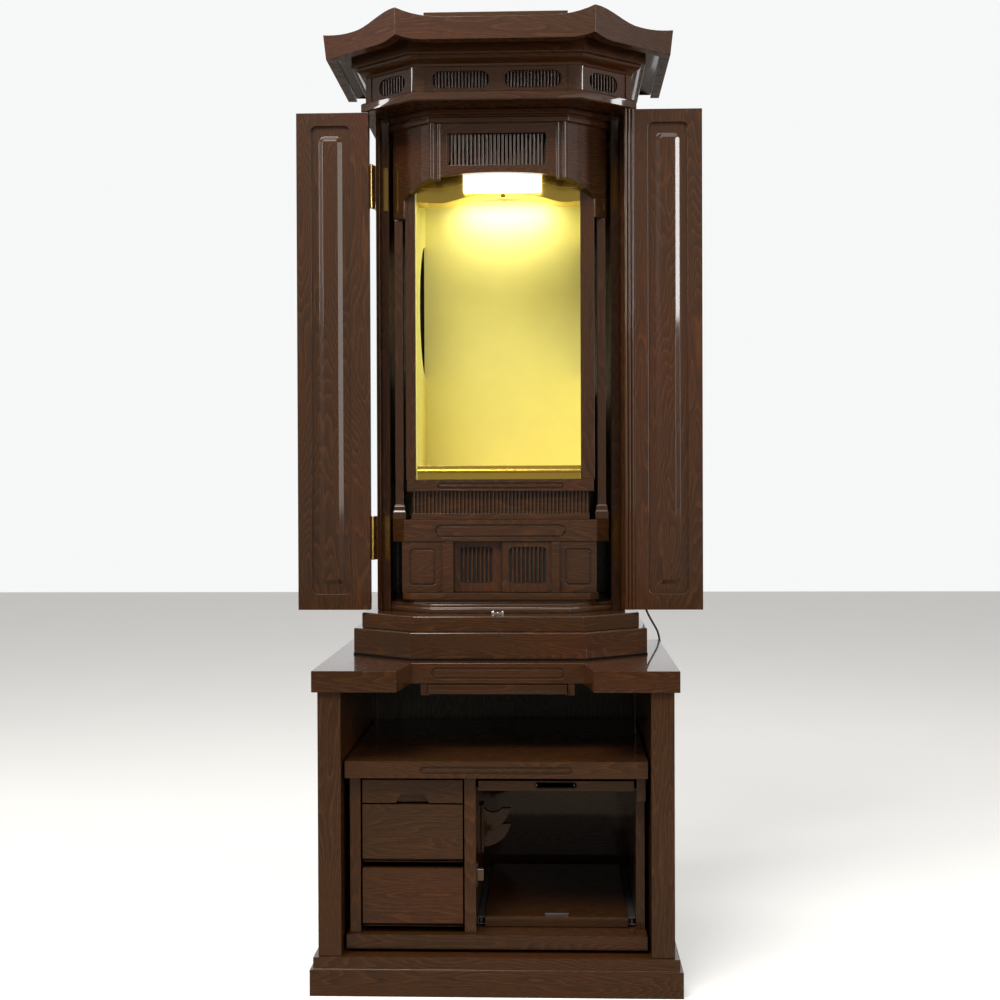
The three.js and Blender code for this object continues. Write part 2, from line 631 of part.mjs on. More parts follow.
// Inner unit with drawers, pull-out board and tray
function unit() {
  const topBoard = box(-UNIT_HALF, UNIT_HALF, UNIT_FRONT, UNIT_REAR, UNIT_UNDER, UNIT_TOP_Z);
  const line = pill(UNIT_PILL_LENGTH, UNIT_PILL_HEIGHT, UNIT_UNDER + UNIT_TOP_THICK / 2 - 1, UNIT_FRONT);
  add('unit_top', cut(topBoard, line), darkWood);

  const low = UNIT_FLOOR + TOUCH;
  const high = UNIT_UNDER - TOUCH;
  const rear = UNIT_REAR - UNIT_BACK_THICK - TOUCH;
  const leftOut = -UNIT_HALF + UNIT_LEFT_SET;
  const leftIn = leftOut + UNIT_LEFT_THICK;
  const rightOut = UNIT_HALF - UNIT_RIGHT_SET;
  const rightIn = rightOut - UNIT_RIGHT_THICK;
  const roomLeft = PARTITION_X + PARTITION_THICK;
  add('unit_side_left', box(leftOut, leftIn, UNIT_POST_Y, rear, low, high), darkWood);

  const boardTop = UNIT_UNDER - BOARD_DROP;
  const boardLow = boardTop - BOARD_THICK;
  const cleatTop = boardLow - TOUCH;
  const cleatY = UNIT_POST_Y + CLEAT_SET;
  const partition = box(PARTITION_X, roomLeft, UNIT_POST_Y, rear, low, high);
  const cleatLeft = box(roomLeft - 1, roomLeft + CLEAT_WIDE, cleatY, rear, cleatTop - CLEAT_THICK, cleatTop);
  add('unit_partition', join(partition, cleatLeft), darkWood);

  const stub = box(rightIn, rightOut, UNIT_POST_Y, UNIT_POST_Y + STUB_SET + 1, high - STUB_LENGTH, high);
  const panel = box(rightIn, rightOut, UNIT_POST_Y + STUB_SET, rear, low, high);
  const cleatRight = box(rightIn - CLEAT_WIDE, rightIn + 1, cleatY, rear, cleatTop - CLEAT_THICK, cleatTop);
  add('unit_side_right', join(panel, stub, cleatRight), darkWood);

  const bottom = box(-UNIT_HALF + 1, UNIT_HALF - 1, UNIT_FRONT + UNIT_BOTTOM_SET, UNIT_REAR,
    FLOOR_Z + UNIT_FOOT, UNIT_FLOOR);
  const back = box(leftOut, rightOut, UNIT_REAR - UNIT_BACK_THICK, UNIT_REAR, UNIT_FLOOR - 1, high);
  const footHalf = UNIT_HALF - FOOT_SET;
  const foot = (y) => box(-footHalf, footHalf, y, y + FOOT_WIDE, FLOOR_Z + TOUCH, FLOOR_Z + UNIT_FOOT + 1);
  const feet = [foot(UNIT_FRONT + FOOT_IN), foot(UNIT_REAR - FOOT_IN - FOOT_WIDE)];
  add('unit_bottom', join(bottom, back, ...feet), darkWood);

  // Three drawers, from the bottom up, the highest with a finger notch
  const x0 = leftIn + DRAWER_GAP;
  const x1 = PARTITION_X - DRAWER_GAP;
  const names = ['drawer_bottom', 'drawer_middle', 'drawer_small'];
  let z = UNIT_FLOOR;
  DRAWER_HEIGHTS.forEach((height, level) => {
    z += DRAWER_JOINTS[level];
    const highest = level === names.length - 1;
    let body = drawer(x0, x1, DRAWER_Y, z, z + height, highest ? 0.5 : DRAWER_BEVEL);
    if (highest) {
      const mid = (x0 + x1) / 2;
      const notch = new THREE.Shape([
        new THREE.Vector2(mid - NOTCH_WIDE / 2, z - 1),
        new THREE.Vector2(mid + NOTCH_WIDE / 2, z - 1),
        new THREE.Vector2(mid + NOTCH_TOP / 2, z + NOTCH_HIGH),
        new THREE.Vector2(mid - NOTCH_TOP / 2, z + NOTCH_HIGH),
      ]);
      body = cut(body, upright(notch, UNIT_POST_Y, UNIT_POST_Y + DRAWER_FRONT - 5));
    }
    add(names[level], body, darkWood);
    z += height;
  });

  // Board that slides out over the compartment, with its sunk pull
  const b0 = roomLeft + BOARD_SIDE_GAP;
  const b1 = rightIn - BOARD_SIDE_GAP;
  const board = box(b0, b1, UNIT_POST_Y + 2, UNIT_POST_Y + BOARD_LENGTH, boardLow, boardTop);
  const pullX = (b0 + b1) / 2;
  const pullTop = boardTop - 2;
  const y = UNIT_POST_Y + 2;
  const pullShape = (grow) => roundedRect(
    pullX - BOARD_PULL_WIDE / 2 - grow, pullX + BOARD_PULL_WIDE / 2 + grow,
    pullTop - BOARD_PULL_HIGH - grow, pullTop + grow, BOARD_PULL_HIGH / 2 + grow, 5,
  );
  add('pull_out_board', cut(board, upright(pullShape(TOUCH), y - 1, y + BOARD_PULL_DEEP + TOUCH)), darkWood);
  const pull = upright(pullShape(0), y, y + BOARD_PULL_DEEP);
  add('board_pull', cut(pull, upright(pullShape(-1.5), y - 1, y + BOARD_PULL_DEEP - 2)), black);

  // Tray between its runners
  const trayZ = UNIT_FLOOR + 1;
  add('tray', box(
    roomLeft + TRAY_SIDE, rightIn - TRAY_SIDE, TRAY_Y, TRAY_Y + TRAY_LENGTH, trayZ, trayZ + TRAY_THICK,
  ), darkWood);

  // Two hooks on one plate
  const hook = (depth, z0, scoop) => {
    const base = roomLeft + TOUCH;
    const shape = new THREE.Shape();
    shape.moveTo(base, z0);
    shape.quadraticCurveTo(base + HOOK_REACH * 0.8, z0 + 2, base + HOOK_REACH, z0 + HOOK_HIGH);
    shape.lineTo(base + HOOK_REACH * 0.72, z0 + HOOK_HIGH);
    const rim = z0 + HOOK_HIGH;
    shape.quadraticCurveTo(base + HOOK_REACH * 0.4, rim - scoop, base + HOOK_PLATE, rim);
    shape.lineTo(base, z0 + HOOK_HIGH);
    return upright(shape, depth, depth + HOOK_THICK, 5);
  };
  const plate = box(
    roomLeft + TOUCH, roomLeft + TOUCH + HOOK_PLATE,
    HOOK_Y - HOOK_PLATE, HOOK_Y + HOOK_THICK * 3,
    HOOK_Z - HOOK_PLATE, HOOK_Z + HOOK_HIGH * 2 - HOOK_PLATE,
  );
  const upper = hook(HOOK_Y, HOOK_Z + HOOK_STEP, HOOK_SCOOP);
  const lower = hook(HOOK_Y + HOOK_THICK * 1.6, HOOK_Z, HOOK_SCOOP / 8);
  add('bead_hooks', join(plate, upper, lower), darkWood);
}

// Base steps of the upper cabinet
function base() {
  const mat = planLoft([[-MAT_PROUD, MAT_Z + TOUCH], [-MAT_PROUD, LOW_Z]]);
  add('base_mat', mat, black);
  add('base_step_low', planLoft([
    [0, LOW_Z + TOUCH], [0, MID_Z - ARRIS], [ARRIS, MID_Z],
  ]), darkWood);
  add('base_step_mid', planLoft([
    [STEP_MID_SET, MID_Z + TOUCH], [STEP_MID_SET, SILL_Z - ARRIS], [STEP_MID_SET + ARRIS, SILL_Z],
  ]), darkWood);
  const sillRear = NICHE_BACK;
  const sill = wideLoft([
    [SILL_SET, SILL_Z + TOUCH],
    [SILL_SET, SILL_TOP - SILL_BEAD * 3],
    [SILL_SET + SILL_BEAD, SILL_TOP - SILL_BEAD * 2],
    [SILL_SET + SILL_BEAD, SILL_TOP - ARRIS],
    [SILL_SET + SILL_BEAD + ARRIS, SILL_TOP],
  ], STILE_IN - TOUCH, sillRear);
  const ledgeLow = ROW_Z - LEDGE_LOW_HIGH;
  const ledgeShape = (inset) => canted(
    LEDGE_HALF_FRONT - inset, LEDGE_HALF - inset, LEDGE_FRONT + inset, sillRear,
  );
  const riser = prism(ledgeShape(LEDGE_INSET), SILL_TOP - 1, ledgeLow + 1);
  const ledge = prism(ledgeShape(0), ledgeLow, ROW_Z);
  add('altar_floor', join(sill, riser, ledge), innerWood);
}

// Walls, each with its canted front stile reaching out to the hinges
function walls() {
  const [, frontCorner] = plan(STILE_SET);
  const cantY = (x) => frontCorner[1] + (x - frontCorner[0]) * Math.tan(CANT);
  const depthEnd = cantY(WALL_OUT) + STILE_DEEP;
  const rear = CABINET_REAR - 2;
  const lipX = WALL_OUT - 6;
  const lipY = cantY(lipX) - (WALL_OUT - lipX) / Math.tan(CANT) + 1;
  for (const [name, side] of [['cabinet_side_left', -1], ['cabinet_side_right', 1]]) {
    const points = [
      [STILE_IN, cantY(STILE_IN)], [lipX, cantY(lipX)], [WALL_OUT, lipY], [WALL_OUT, rear],
      [WALL_OUT - WALL_THICK, rear], [WALL_OUT - WALL_THICK, depthEnd], [STILE_IN, depthEnd],
    ];
    const turned = side < 0 ? points.map(([x, y]) => [-x, y]).reverse() : points;
    add(name, prism(turned, SILL_Z + TOUCH, LEDGE_Z - TOUCH), darkWood);
  }
  const inside = WALL_OUT - WALL_THICK - TOUCH;
  const backBoard = box(-inside, inside, rear - CABINET_BACK_THICK, rear, SILL_Z + TOUCH, LEDGE_Z - TOUCH);
  add('cabinet_back', backBoard, innerWood);
}

// Cupboard row and shelves under the niche
function lowerAltar() {
  const low = ROW_Z + TOUCH;
  const high = SECOND_Z - TOUCH;
  const track = ROW_FRONT + SLIDING_TRACK * 2 + 1;
  const rear = ROW_FRONT + ROW_DEPTH;
  for (const side of [-1, 1]) {
    const inX = side < 0 ? ROW_LEFT_POST : ROW_RIGHT_POST;
    const postX = inX + (side < 0 ? ROW_LEFT_WIDE : ROW_RIGHT_WIDE);
    const endX = side < 0 ? ROW_LEFT_END : ROW_RIGHT_END;
    const post = box(inX, postX, ROW_FRONT - ROW_POST_PROUD, rear, low, high);
    const panel = box(postX - 1, endX, ROW_FRONT, ROW_FRONT + 14, low, high);
    const end = box(endX - 10, endX, ROW_FRONT + 13, rear, low, high);
    // A rebate lets the sliding doors run in behind the post's front
    const rebate = box(inX - 1, inX + ROW_REBATE, ROW_FRONT, track, low - 1, high + 1);
    const mid = (postX + endX) / 2;
    const midZ = (ROW_Z + SECOND_Z) / 2;
    const ring = groove(mid - ROW_PANEL_WIDE / 2, mid + ROW_PANEL_WIDE / 2, midZ - ROW_PANEL_HIGH / 2,
      midZ + ROW_PANEL_HIGH / 2, 7, GROOVE_WIDE, ROW_FRONT, GROOVE_DEEP, 3);
    const whole = cut(join(post, panel, end), rebate, ring);
    if (side < 0) {
      whole.scale(-1, 1, 1);
      flip(whole);
    }
    add(side < 0 ? 'row_end_left' : 'row_end_right', whole, darkWood);
  }
  const doorHigh = SECOND_Z - SLIDE_GAP;
  const doorLow = ROW_Z + SLIDE_GAP;
  for (const [name, side] of [['sliding_door_left', -1], ['sliding_door_right', 1]]) {
    const front = side < 0 ? ROW_FRONT + SLIDING_TRACK + 1 : ROW_FRONT + 1;
    const [x0, x1] = side < 0
      ? [-ROW_LEFT_POST - ROW_REBATE + 1, SLIDING_MEET]
      : [SLIDING_MEET + 1, ROW_RIGHT_POST + ROW_REBATE - 1];
    const [s0, s1] = side < 0
      ? [-ROW_LEFT_POST + SLIDING_POST_STILE, -SLIDING_LEFT_STILE]
      : [SLIDING_RIGHT_STILE, ROW_RIGHT_POST - SLIDING_POST_STILE];
    const board = box(x0, x1, front, front + SLIDING_THICK, doorLow, doorHigh);
    const openings = grille(s0, s1, doorLow + SLIDING_RAIL_LOW, doorHigh - SLIDING_RAIL_HIGH, SLIDING_CORNER,
      SLIDING_PITCH, SLIDING_SLOT, front, SLIDING_POCKET, SLIDING_SLOT_DEEP);
    add(name, cut(board, ...openings), darkWood);
  }
  const shelf = prism(canted(SECOND_HALF_FRONT, SECOND_HALF, SECOND_FRONT, NICHE_BACK), SECOND_Z, RIB_Z);
  const line = pill(SECOND_PILL_LENGTH, SECOND_PILL_HEIGHT, SECOND_Z + SECOND_THICK / 2 - 1, SECOND_FRONT);
  add('second_shelf', cut(shelf, line), darkWood);

  // Ribbed panel over its low rail
  const pitch = (RIB_HALF * 2) / RIB_COUNT;
  const points = [];
  for (let i = 0; i < RIB_COUNT; i += 1) {
    const x = -RIB_HALF + i * pitch;
    points.push([x, RIB_FRONT + RIB_DEEP], [x + pitch * 0.3, RIB_FRONT], [x + pitch * 0.7, RIB_FRONT]);
  }
  const ribRear = RIB_FRONT + RIB_THICK;
  points.push([RIB_HALF, RIB_FRONT + RIB_DEEP], [RIB_HALF, ribRear], [-RIB_HALF, ribRear]);
  const ribs = prism(points, RIB_Z + RIB_RAIL - 1, NICHE_RAIL_Z - TOUCH);
  const rail = box(-RIB_HALF, RIB_HALF, RIB_FRONT - RIB_RAIL_PROUD, ribRear, RIB_Z + TOUCH, RIB_Z + RIB_RAIL);
  add('ribbed_panel', join(rail, ribs), innerWood);

  const shelfFront = NICHE_RAIL_FRONT;
  const nicheShelf = box(-NICHE_RAIL_HALF, NICHE_RAIL_HALF, shelfFront, NICHE_BACK, NICHE_RAIL_Z, NICHE_Z);
  const nicheLine = pill(NICHE_PILL_LENGTH, NICHE_PILL_HEIGHT, NICHE_RAIL_Z + NICHE_RAIL / 2 - 1, shelfFront);
  add('niche_shelf', cut(nicheShelf, nicheLine), darkWood);

  for (const [name, side] of [['inner_post_left', -1], ['inner_post_right', 1]]) {
    const x = side * POST_X;
    const half = POST_SIDE / 2;
    const shaft = box(x - half, x + half, POST_Y - half, POST_Y + half,
      RIB_Z + POST_BLOCK_HIGH - 1, WING_FOOT_Z - TOUCH);
    const blockHalf = POST_BLOCK_WIDE / 2;
    const block = loft([
      { points: square(x, POST_Y, blockHalf), z: RIB_Z + TOUCH },
      { points: square(x, POST_Y, blockHalf), z: RIB_Z + POST_BLOCK_HIGH * 0.5 },
      { points: square(x, POST_Y, blockHalf - 2), z: RIB_Z + POST_BLOCK_HIGH * 0.62 },
      { points: square(x, POST_Y, blockHalf - 2), z: RIB_Z + POST_BLOCK_HIGH * 0.88 },
      { points: square(x, POST_Y, half + 0.5), z: RIB_Z + POST_BLOCK_HIGH },
    ]);
    add(name, join(shaft, block), darkWood);
  }
}
function square(x, y, half) {
  return [[x - half, y - half], [x + half, y - half], [x + half, y + half], [x - half, y + half]];
}

// Gold niche with its lamp
function niche() {
  const low = NICHE_Z + TOUCH;
  const wallIn = NICHE_HALF + GOLD_THICK + TOUCH;
  const rear = NICHE_BACK - TOUCH;
  for (const side of [-1, 1]) {
    const word = side < 0 ? 'left' : 'right';
    const reach = () => {
      const tool = new THREE.CylinderGeometry(REACH_HOLE_RADIUS, REACH_HOLE_RADIUS, NICHE_WALL * 4, 32);
      return tool.rotateZ(Math.PI / 2).translate(side * NICHE_HALF, NICHE_BACK, LEDGE_Z - REACH_HOLE_DROP);
    };
    // The wall's front edge laps over the gold side's
    const lipOut = side < 0 ? NICHE_LIP_LEFT : NICHE_LIP_RIGHT;
    const lipX = wallIn - lipOut;
    const lipRear = NICHE_FRONT + NICHE_LIP_DEEP;
    const [l0, l1] = side < 0 ? [-wallIn - 1, -lipX] : [lipX, wallIn + 1];
    const lip = box(l0, l1, NICHE_FRONT, lipRear, low, NICHE_TOP);
    const [x0, x1] = side < 0 ? [-wallIn - NICHE_WALL, -wallIn] : [wallIn, wallIn + NICHE_WALL];
    const wall = join(box(x0, x1, NICHE_FRONT, rear, low, NICHE_TOP), lip);
    add(`niche_wall_${word}`, cut(wall, reach()), darkWood);
    const goldOut = NICHE_HALF + GOLD_THICK;
    const [g0, g1] = side < 0 ? [-goldOut, -NICHE_HALF] : [NICHE_HALF, goldOut];
    add(`gold_side_${word}`, cut(box(g0, g1, lipRear + TOUCH, rear, low, NICHE_TOP), reach()), gold);
  }
  const across = NICHE_HALF + GOLD_THICK;
  add('gold_back', box(-across, across, NICHE_BACK, NICHE_BACK + GOLD_THICK, low, NICHE_TOP), gold);

  // Threshold with its bead, and the niche floor behind it
  const leftIn = -NICHE_HALF + TOUCH;
  const rightIn = NICHE_HALF - TOUCH;
  const y = NICHE_FRONT + NICHE_LIP_DEEP;
  const beadLow = low + THRESHOLD_LOW;
  const beadHigh = beadLow + THRESHOLD_BEAD;
  const floorZ = low + THRESHOLD_HIGH;
  const front = NICHE_FRONT - THRESHOLD_PROUD;
  const floor = sideways([
    [front + 3, low], [front + 3, beadLow], [front, beadLow + 1.5],
    [front, beadHigh - 1.5], [front + 3, beadHigh], [y, beadHigh + 0.5],
    [y, floorZ], [rear, floorZ], [rear, low],
  ], leftIn, rightIn);
  const lipRoom = box(
    wallIn - NICHE_LIP_RIGHT - TOUCH, NICHE_HALF, 0, NICHE_FRONT + NICHE_LIP_DEEP + TOUCH, low - 1, NICHE_TOP,
  );
  add('gold_floor', cut(floor, lipRoom), gold);

  // Double-curved arch, its soffit running back, with a line along its face
  const topZ = LEDGE_Z - ARCH_TOP_DROP;
  const midZ = LEDGE_Z - ARCH_MID_DROP;
  const dipZ = LEDGE_Z - ARCH_DIP_DROP;
  const endZ = dipZ + ARCH_END_LIFT;
  const archShape = (rise) => {
    const leftDip = ARCH_X - ARCH_DIP_X;
    const rightDip = ARCH_X + ARCH_DIP_X;
    const shape = new THREE.Shape();
    shape.moveTo(leftIn, topZ);
    shape.lineTo(leftIn, endZ + rise);
    shape.quadraticCurveTo(leftDip - ARCH_DIP_X * 0.15, dipZ + rise, leftDip, dipZ + rise);
    const low = dipZ + rise;
    const mid = midZ + rise;
    const first = ARCH_DIP_X * 0.19;
    const second = ARCH_DIP_X * 0.37;
    shape.bezierCurveTo(leftDip + first, low, leftDip + second, mid, ARCH_X, mid);
    shape.bezierCurveTo(rightDip - second, mid, rightDip - first, low, rightDip, low);
    shape.quadraticCurveTo(rightDip + ARCH_DIP_X * 0.1, dipZ + rise, rightIn, endZ + rise);
    shape.lineTo(rightIn, topZ);
    return shape;
  };
  const archY = y + TOUCH;
  const band = upright(archShape(0), archY + ARCH_LINE_DEEP, archY + ARCH_DEEP, 8);
  const brow = upright(archShape(ARCH_LINE_RISE), archY, archY + ARCH_LINE_DEEP + 1, 8);
  add('gold_arch', join(band, brow), gold);
  const lampRear = archY - TOUCH;
  const lampZ = LEDGE_Z - LAMP_DROP;
  add('lamp', box(
    ARCH_X - LAMP_WIDE / 2, ARCH_X + LAMP_WIDE / 2, lampRear - LAMP_DEEP, lampRear, lampZ, lampZ + LAMP_HIGH,
  ), lit);
}

// Valance: front panel, canted wings, round columns and the moulding above
function valance() {
  const [, [cornerX, frontY]] = plan(VALANCE_SET);
  const half = STILE_IN - TOUCH;
  const sideZ = LEDGE_Z - VALANCE_SIDE_DROP;
  const midZ = LEDGE_Z - VALANCE_MID_DROP;
  const panel = new THREE.Shape();
  panel.moveTo(-cornerX, VALANCE_TOP);
  panel.lineTo(-cornerX, VALANCE_COLUMN_Z);
  panel.lineTo(-VALANCE_HALF, VALANCE_COLUMN_Z);
  panel.lineTo(-VALANCE_HALF, sideZ);
  panel.quadraticCurveTo(0, midZ * 2 - sideZ, VALANCE_HALF, sideZ);
  panel.lineTo(VALANCE_HALF, VALANCE_COLUMN_Z);
  panel.lineTo(cornerX, VALANCE_COLUMN_Z);
  panel.lineTo(cornerX, VALANCE_TOP);
  const opening = grille(
    GRILLE_X - GRILLE_HALF, GRILLE_X + GRILLE_HALF, LEDGE_Z - GRILLE_LOW_DROP, LEDGE_Z - GRILLE_HIGH_DROP,
    GRILLE_CORNER, GRILLE_PITCH, GRILLE_SLOT, frontY, GRILLE_POCKET, GRILLE_DEEP,
  );
  const front = cut(upright(panel, frontY, frontY + VALANCE_THICK, 10), ...opening);

  // A wing is drawn along the cant and then turned into place
  const long = (VALANCE_WING_END - cornerX) / Math.cos(CANT);
  const leg = long - WING_LEG_WIDE / Math.cos(CANT);
  const shape = new THREE.Shape();
  shape.moveTo(-1, VALANCE_TOP);
  shape.lineTo(-1, VALANCE_COLUMN_Z);
  shape.lineTo(3, VALANCE_COLUMN_Z);
  shape.quadraticCurveTo(leg * 0.55, VALANCE_COLUMN_Z - 5, leg * 0.85, LEDGE_Z - WING_BEND_DROP + 2);
  shape.lineTo(leg, LEDGE_Z - WING_LEG_DROP + 4);
  shape.lineTo(leg, WING_FOOT_Z);
  shape.lineTo(long, WING_FOOT_Z);
  shape.lineTo(long, VALANCE_TOP);
  const wing = upright(shape, 0, VALANCE_THICK, 8);
  wing.rotateZ(CANT).translate(cornerX, frontY, 0);
  const otherWing = wing.clone().scale(-1, 1, 1);
  flip(otherWing);

  // Twin round columns on each side of the front panel
  const columns = [];
  for (const side of [-1, 1]) {
    const places = [
      [VALANCE_HALF + BEAD_THIN_R - 1, BEAD_THIN_R, 1],
      [VALANCE_HALF + 9 + BEAD_WIDE_R, BEAD_WIDE_R, 0],
    ];
    for (const [x, radius, back] of places) {
      const column = new THREE.CylinderGeometry(radius, radius, VALANCE_TOP - VALANCE_COLUMN_Z + 1, 12);
      column.rotateX(Math.PI / 2);
      column.translate(side * x, frontY + back, (VALANCE_TOP + VALANCE_COLUMN_Z + 1) / 2);
      columns.push(column);
    }
  }
  const out = VALANCE_SET;
  const lowTop = VALANCE_TOP + MOULD_LOW;
  const mouldRear = NICHE_FRONT + VALANCE_REAR;
  const mould = wideLoft([
    [out - 2, VALANCE_TOP],
    [out - 5, VALANCE_TOP + 2],
    [out - 5, lowTop - 2],
    [out - 2, lowTop],
    [out - 2, lowTop + 2],
    [out - 7, lowTop + 4],
    [out - 7, lowTop + 2 + MOULD_HIGH],
    [out - 3, LEDGE_Z - TOUCH],
  ], half, mouldRear);
  const roomHalf = STILE_IN - VALANCE_CHEEK;
  const roomTop = LEDGE_Z - VALANCE_ROOF;
  const returnY = frontY + VALANCE_THICK + VALANCE_RETURN;
  const hollow = box(-roomHalf, roomHalf, returnY, mouldRear + 1, 0, roomTop);
  const inside = wideLoft([[out + VALANCE_THICK, VALANCE_TOP - 5], [out + VALANCE_THICK, roomTop]],
    roomHalf, mouldRear + 1);
  const whole = join(front, wing, otherWing, ...columns, cut(mould, inside, hollow));
  const limit = box(-half, half, 0, mouldRear + 1, 0, LEDGE_Z);
  const nicheOut = NICHE_HALF + GOLD_THICK + NICHE_WALL + TOUCH * 2;
  const nicheRoom = box(-nicheOut, nicheOut, NICHE_FRONT - TOUCH, NICHE_BACK, 0, NICHE_TOP + TOUCH);
  add('valance', cut(keep(whole, limit), nicheRoom), darkWood);
}
function flip(geometry) {
  const index = geometry.index;
  if (index) {
    for (let i = 0; i < index.count; i += 3) {
      const b = index.getX(i + 1);
      index.setX(i + 1, index.getX(i + 2));
      index.setX(i + 2, b);
    }
    return;
  }
  for (const attribute of Object.values(geometry.attributes)) {
    for (let i = 0; i < attribute.count; i += 3) {
      const b = new THREE.Vector3().fromBufferAttribute(attribute, i + 1);
      const c = new THREE.Vector3().fromBufferAttribute(attribute, i + 2);
      attribute.setXYZ(i + 1, c.x, c.y, c.z);
      attribute.setXYZ(i + 2, b.x, b.y, b.z);
    }
  }
}

// Transom with its ledge, cornice and roof
function crown() {
  const boxLow = LEDGE_Z + LEDGE_HIGH;
  const ledge = planLoft([
    [LEDGE_SET + 2, LEDGE_Z], [LEDGE_SET, LEDGE_Z + 2], [LEDGE_SET, boxLow - 2], [LEDGE_SET + 2, boxLow],
  ]);
  const body = planLoft([[TRANSOM_SET, boxLow - 1], [TRANSOM_SET, CORNICE_Z - TOUCH]]);
  const corners = plan(TRANSOM_SET);
  const frontY = corners[1][1];
  const slotLow = boxLow + TRANSOM_SLOT_RISE;
  const slotHigh = slotLow + TRANSOM_SLOT_HIGH;
  const round = TRANSOM_SLOT_HIGH / 2;
  const panelY = frontY + TRANSOM_SUNK;
  const frontHalf = corners[1][0] - TRANSOM_POST;
  const pair = (x0, x1) => grille(
    x0, x1, slotLow, slotHigh, round, TRANSOM_PITCH, TRANSOM_GAP, panelY, TRANSOM_POCKET, TRANSOM_DEEP,
  );
  const tools = [
    box(-frontHalf, frontHalf, frontY - 1, panelY, boxLow, CORNICE_Z),
    ...pair(-TRANSOM_SLOT_OUT, -TRANSOM_SLOT_IN),
    ...pair(TRANSOM_SLOT_IN, TRANSOM_SLOT_OUT),
  ];
  const sideLong = Math.hypot(corners[2][0] - corners[1][0], corners[2][1] - corners[1][1]);
  for (const side of [-1, 1]) {
    const cantTools = [
      box(CANT_POST_FRONT, sideLong - CANT_POST_REAR, -1, TRANSOM_SUNK, boxLow, CORNICE_Z),
      ...grille(CANT_SLOT_START, sideLong - CANT_SLOT_END, slotLow, slotHigh, round, TRANSOM_PITCH + 1,
        TRANSOM_GAP + 0.5, TRANSOM_SUNK, TRANSOM_POCKET, TRANSOM_DEEP),
    ];
    for (const tool of cantTools) {
      tool.rotateZ(CANT).translate(corners[1][0], corners[1][1], 0);
      if (side < 0) {
        tool.scale(-1, 1, 1);
        flip(tool);
      }
      tools.push(tool);
    }
  }
  add('transom', cut(join(ledge, body), ...tools), darkWood);

  const flareTop = CORNICE_Z + CORNICE_FLARE;
  add('cornice', planLoft([
    [TRANSOM_SET, CORNICE_Z],
    [TRANSOM_SET - 2, CORNICE_Z + 4],
    [CORNICE_SET + 6, CORNICE_Z + 8],
    [CORNICE_SET + 1, CORNICE_Z + 12],
    [CORNICE_SET, flareTop],
    [1, flareTop + 0.5],
    [0, flareTop + 2],
    [0, CORNICE_TOP - TOUCH],
  ]), darkWood);

  const slabOut = FASCIA_THICK - ROOF_OUT + TOUCH;
  const slab = planLoft([
    [1, CORNICE_TOP], [slabOut, FASCIA_LOW + 6], [slabOut, SLAB_TOP],
  ], STAND_DEPTH - TOUCH);
  const cap = box(-CAP_HALF, CAP_HALF, CAP_FRONT, CABINET_REAR - CAP_REAR_SET, SLAB_TOP - 1, HIP_TOP);
  add('roof_body', join(slab, cap), darkWood);

  // Fascia round the front, from the rear left corner to the rear right one
  const outer = plan(-ROOF_OUT, STAND_DEPTH);
  const inner = plan(FASCIA_THICK - ROOF_OUT, STAND_DEPTH);
  const stations = [];
  const place = (from, to, t) => [from[0] + (to[0] - from[0]) * t, from[1] + (to[1] - from[1]) * t];
  const run = (a, b, steps, shape, skipFirst) => {
    for (let i = skipFirst ? 1 : 0; i <= steps; i += 1) {
      const t = i / steps;
      const [ox, oy] = place(outer[a], outer[b], t);
      const [ix, iy] = place(inner[a], inner[b], t);
      const { low, high, lean } = shape(t);
      const away = lean * Math.sign(ox);
      stations.push([
        [ox - away, oy, low], [ix, iy, low], [ix, iy, high], [ox, oy, high],
      ]);
    }
  };
  const side = (t) => ({
    low: FASCIA_LOW,
    high: FASCIA_MID + (TIP_TOP - FASCIA_MID) * t ** 6,
    lean: TIP_LEAN,
  });
  // From the tip at 0 to the hip at 1
  const flank = (t) => ({
    low: FASCIA_LOW + HIP_LIFT * Math.max((t - 0.8) / 0.2, 0) ** 1.5,
    high: FLANK_LOW + (TIP_TOP - FLANK_LOW) * Math.max(1 - t / 0.37, 0) ** 1.7
      + (HIP_TOP - FLANK_LOW) * THREE.MathUtils.smoothstep(t, 0.45, 0.97),
    lean: TIP_LEAN * (1 - t),
  });
  const frontWide = outer[1][0] - outer[0][0];
  const edge = (t) => {
    const away = Math.min(t, 1 - t) * frontWide;
    return {
      low: FASCIA_LOW + HIP_LIFT * Math.max(1 - away / (HIP_REACH / 2), 0) ** 2,
      high: FASCIA_MID + (HIP_TOP - FASCIA_MID) * Math.max(1 - away / HIP_REACH, 0) ** 2.6,
      lean: 0,
    };
  };
  run(4, 5, 4, side, false);
  run(5, 0, 14, flank, true);
  run(0, 1, 26, edge, true);
  run(1, 2, 14, (t) => flank(1 - t), true);
  run(2, 3, 4, (t) => side(1 - t), true);
  add('roof_fascia', sweep(stations), darkWood);
}
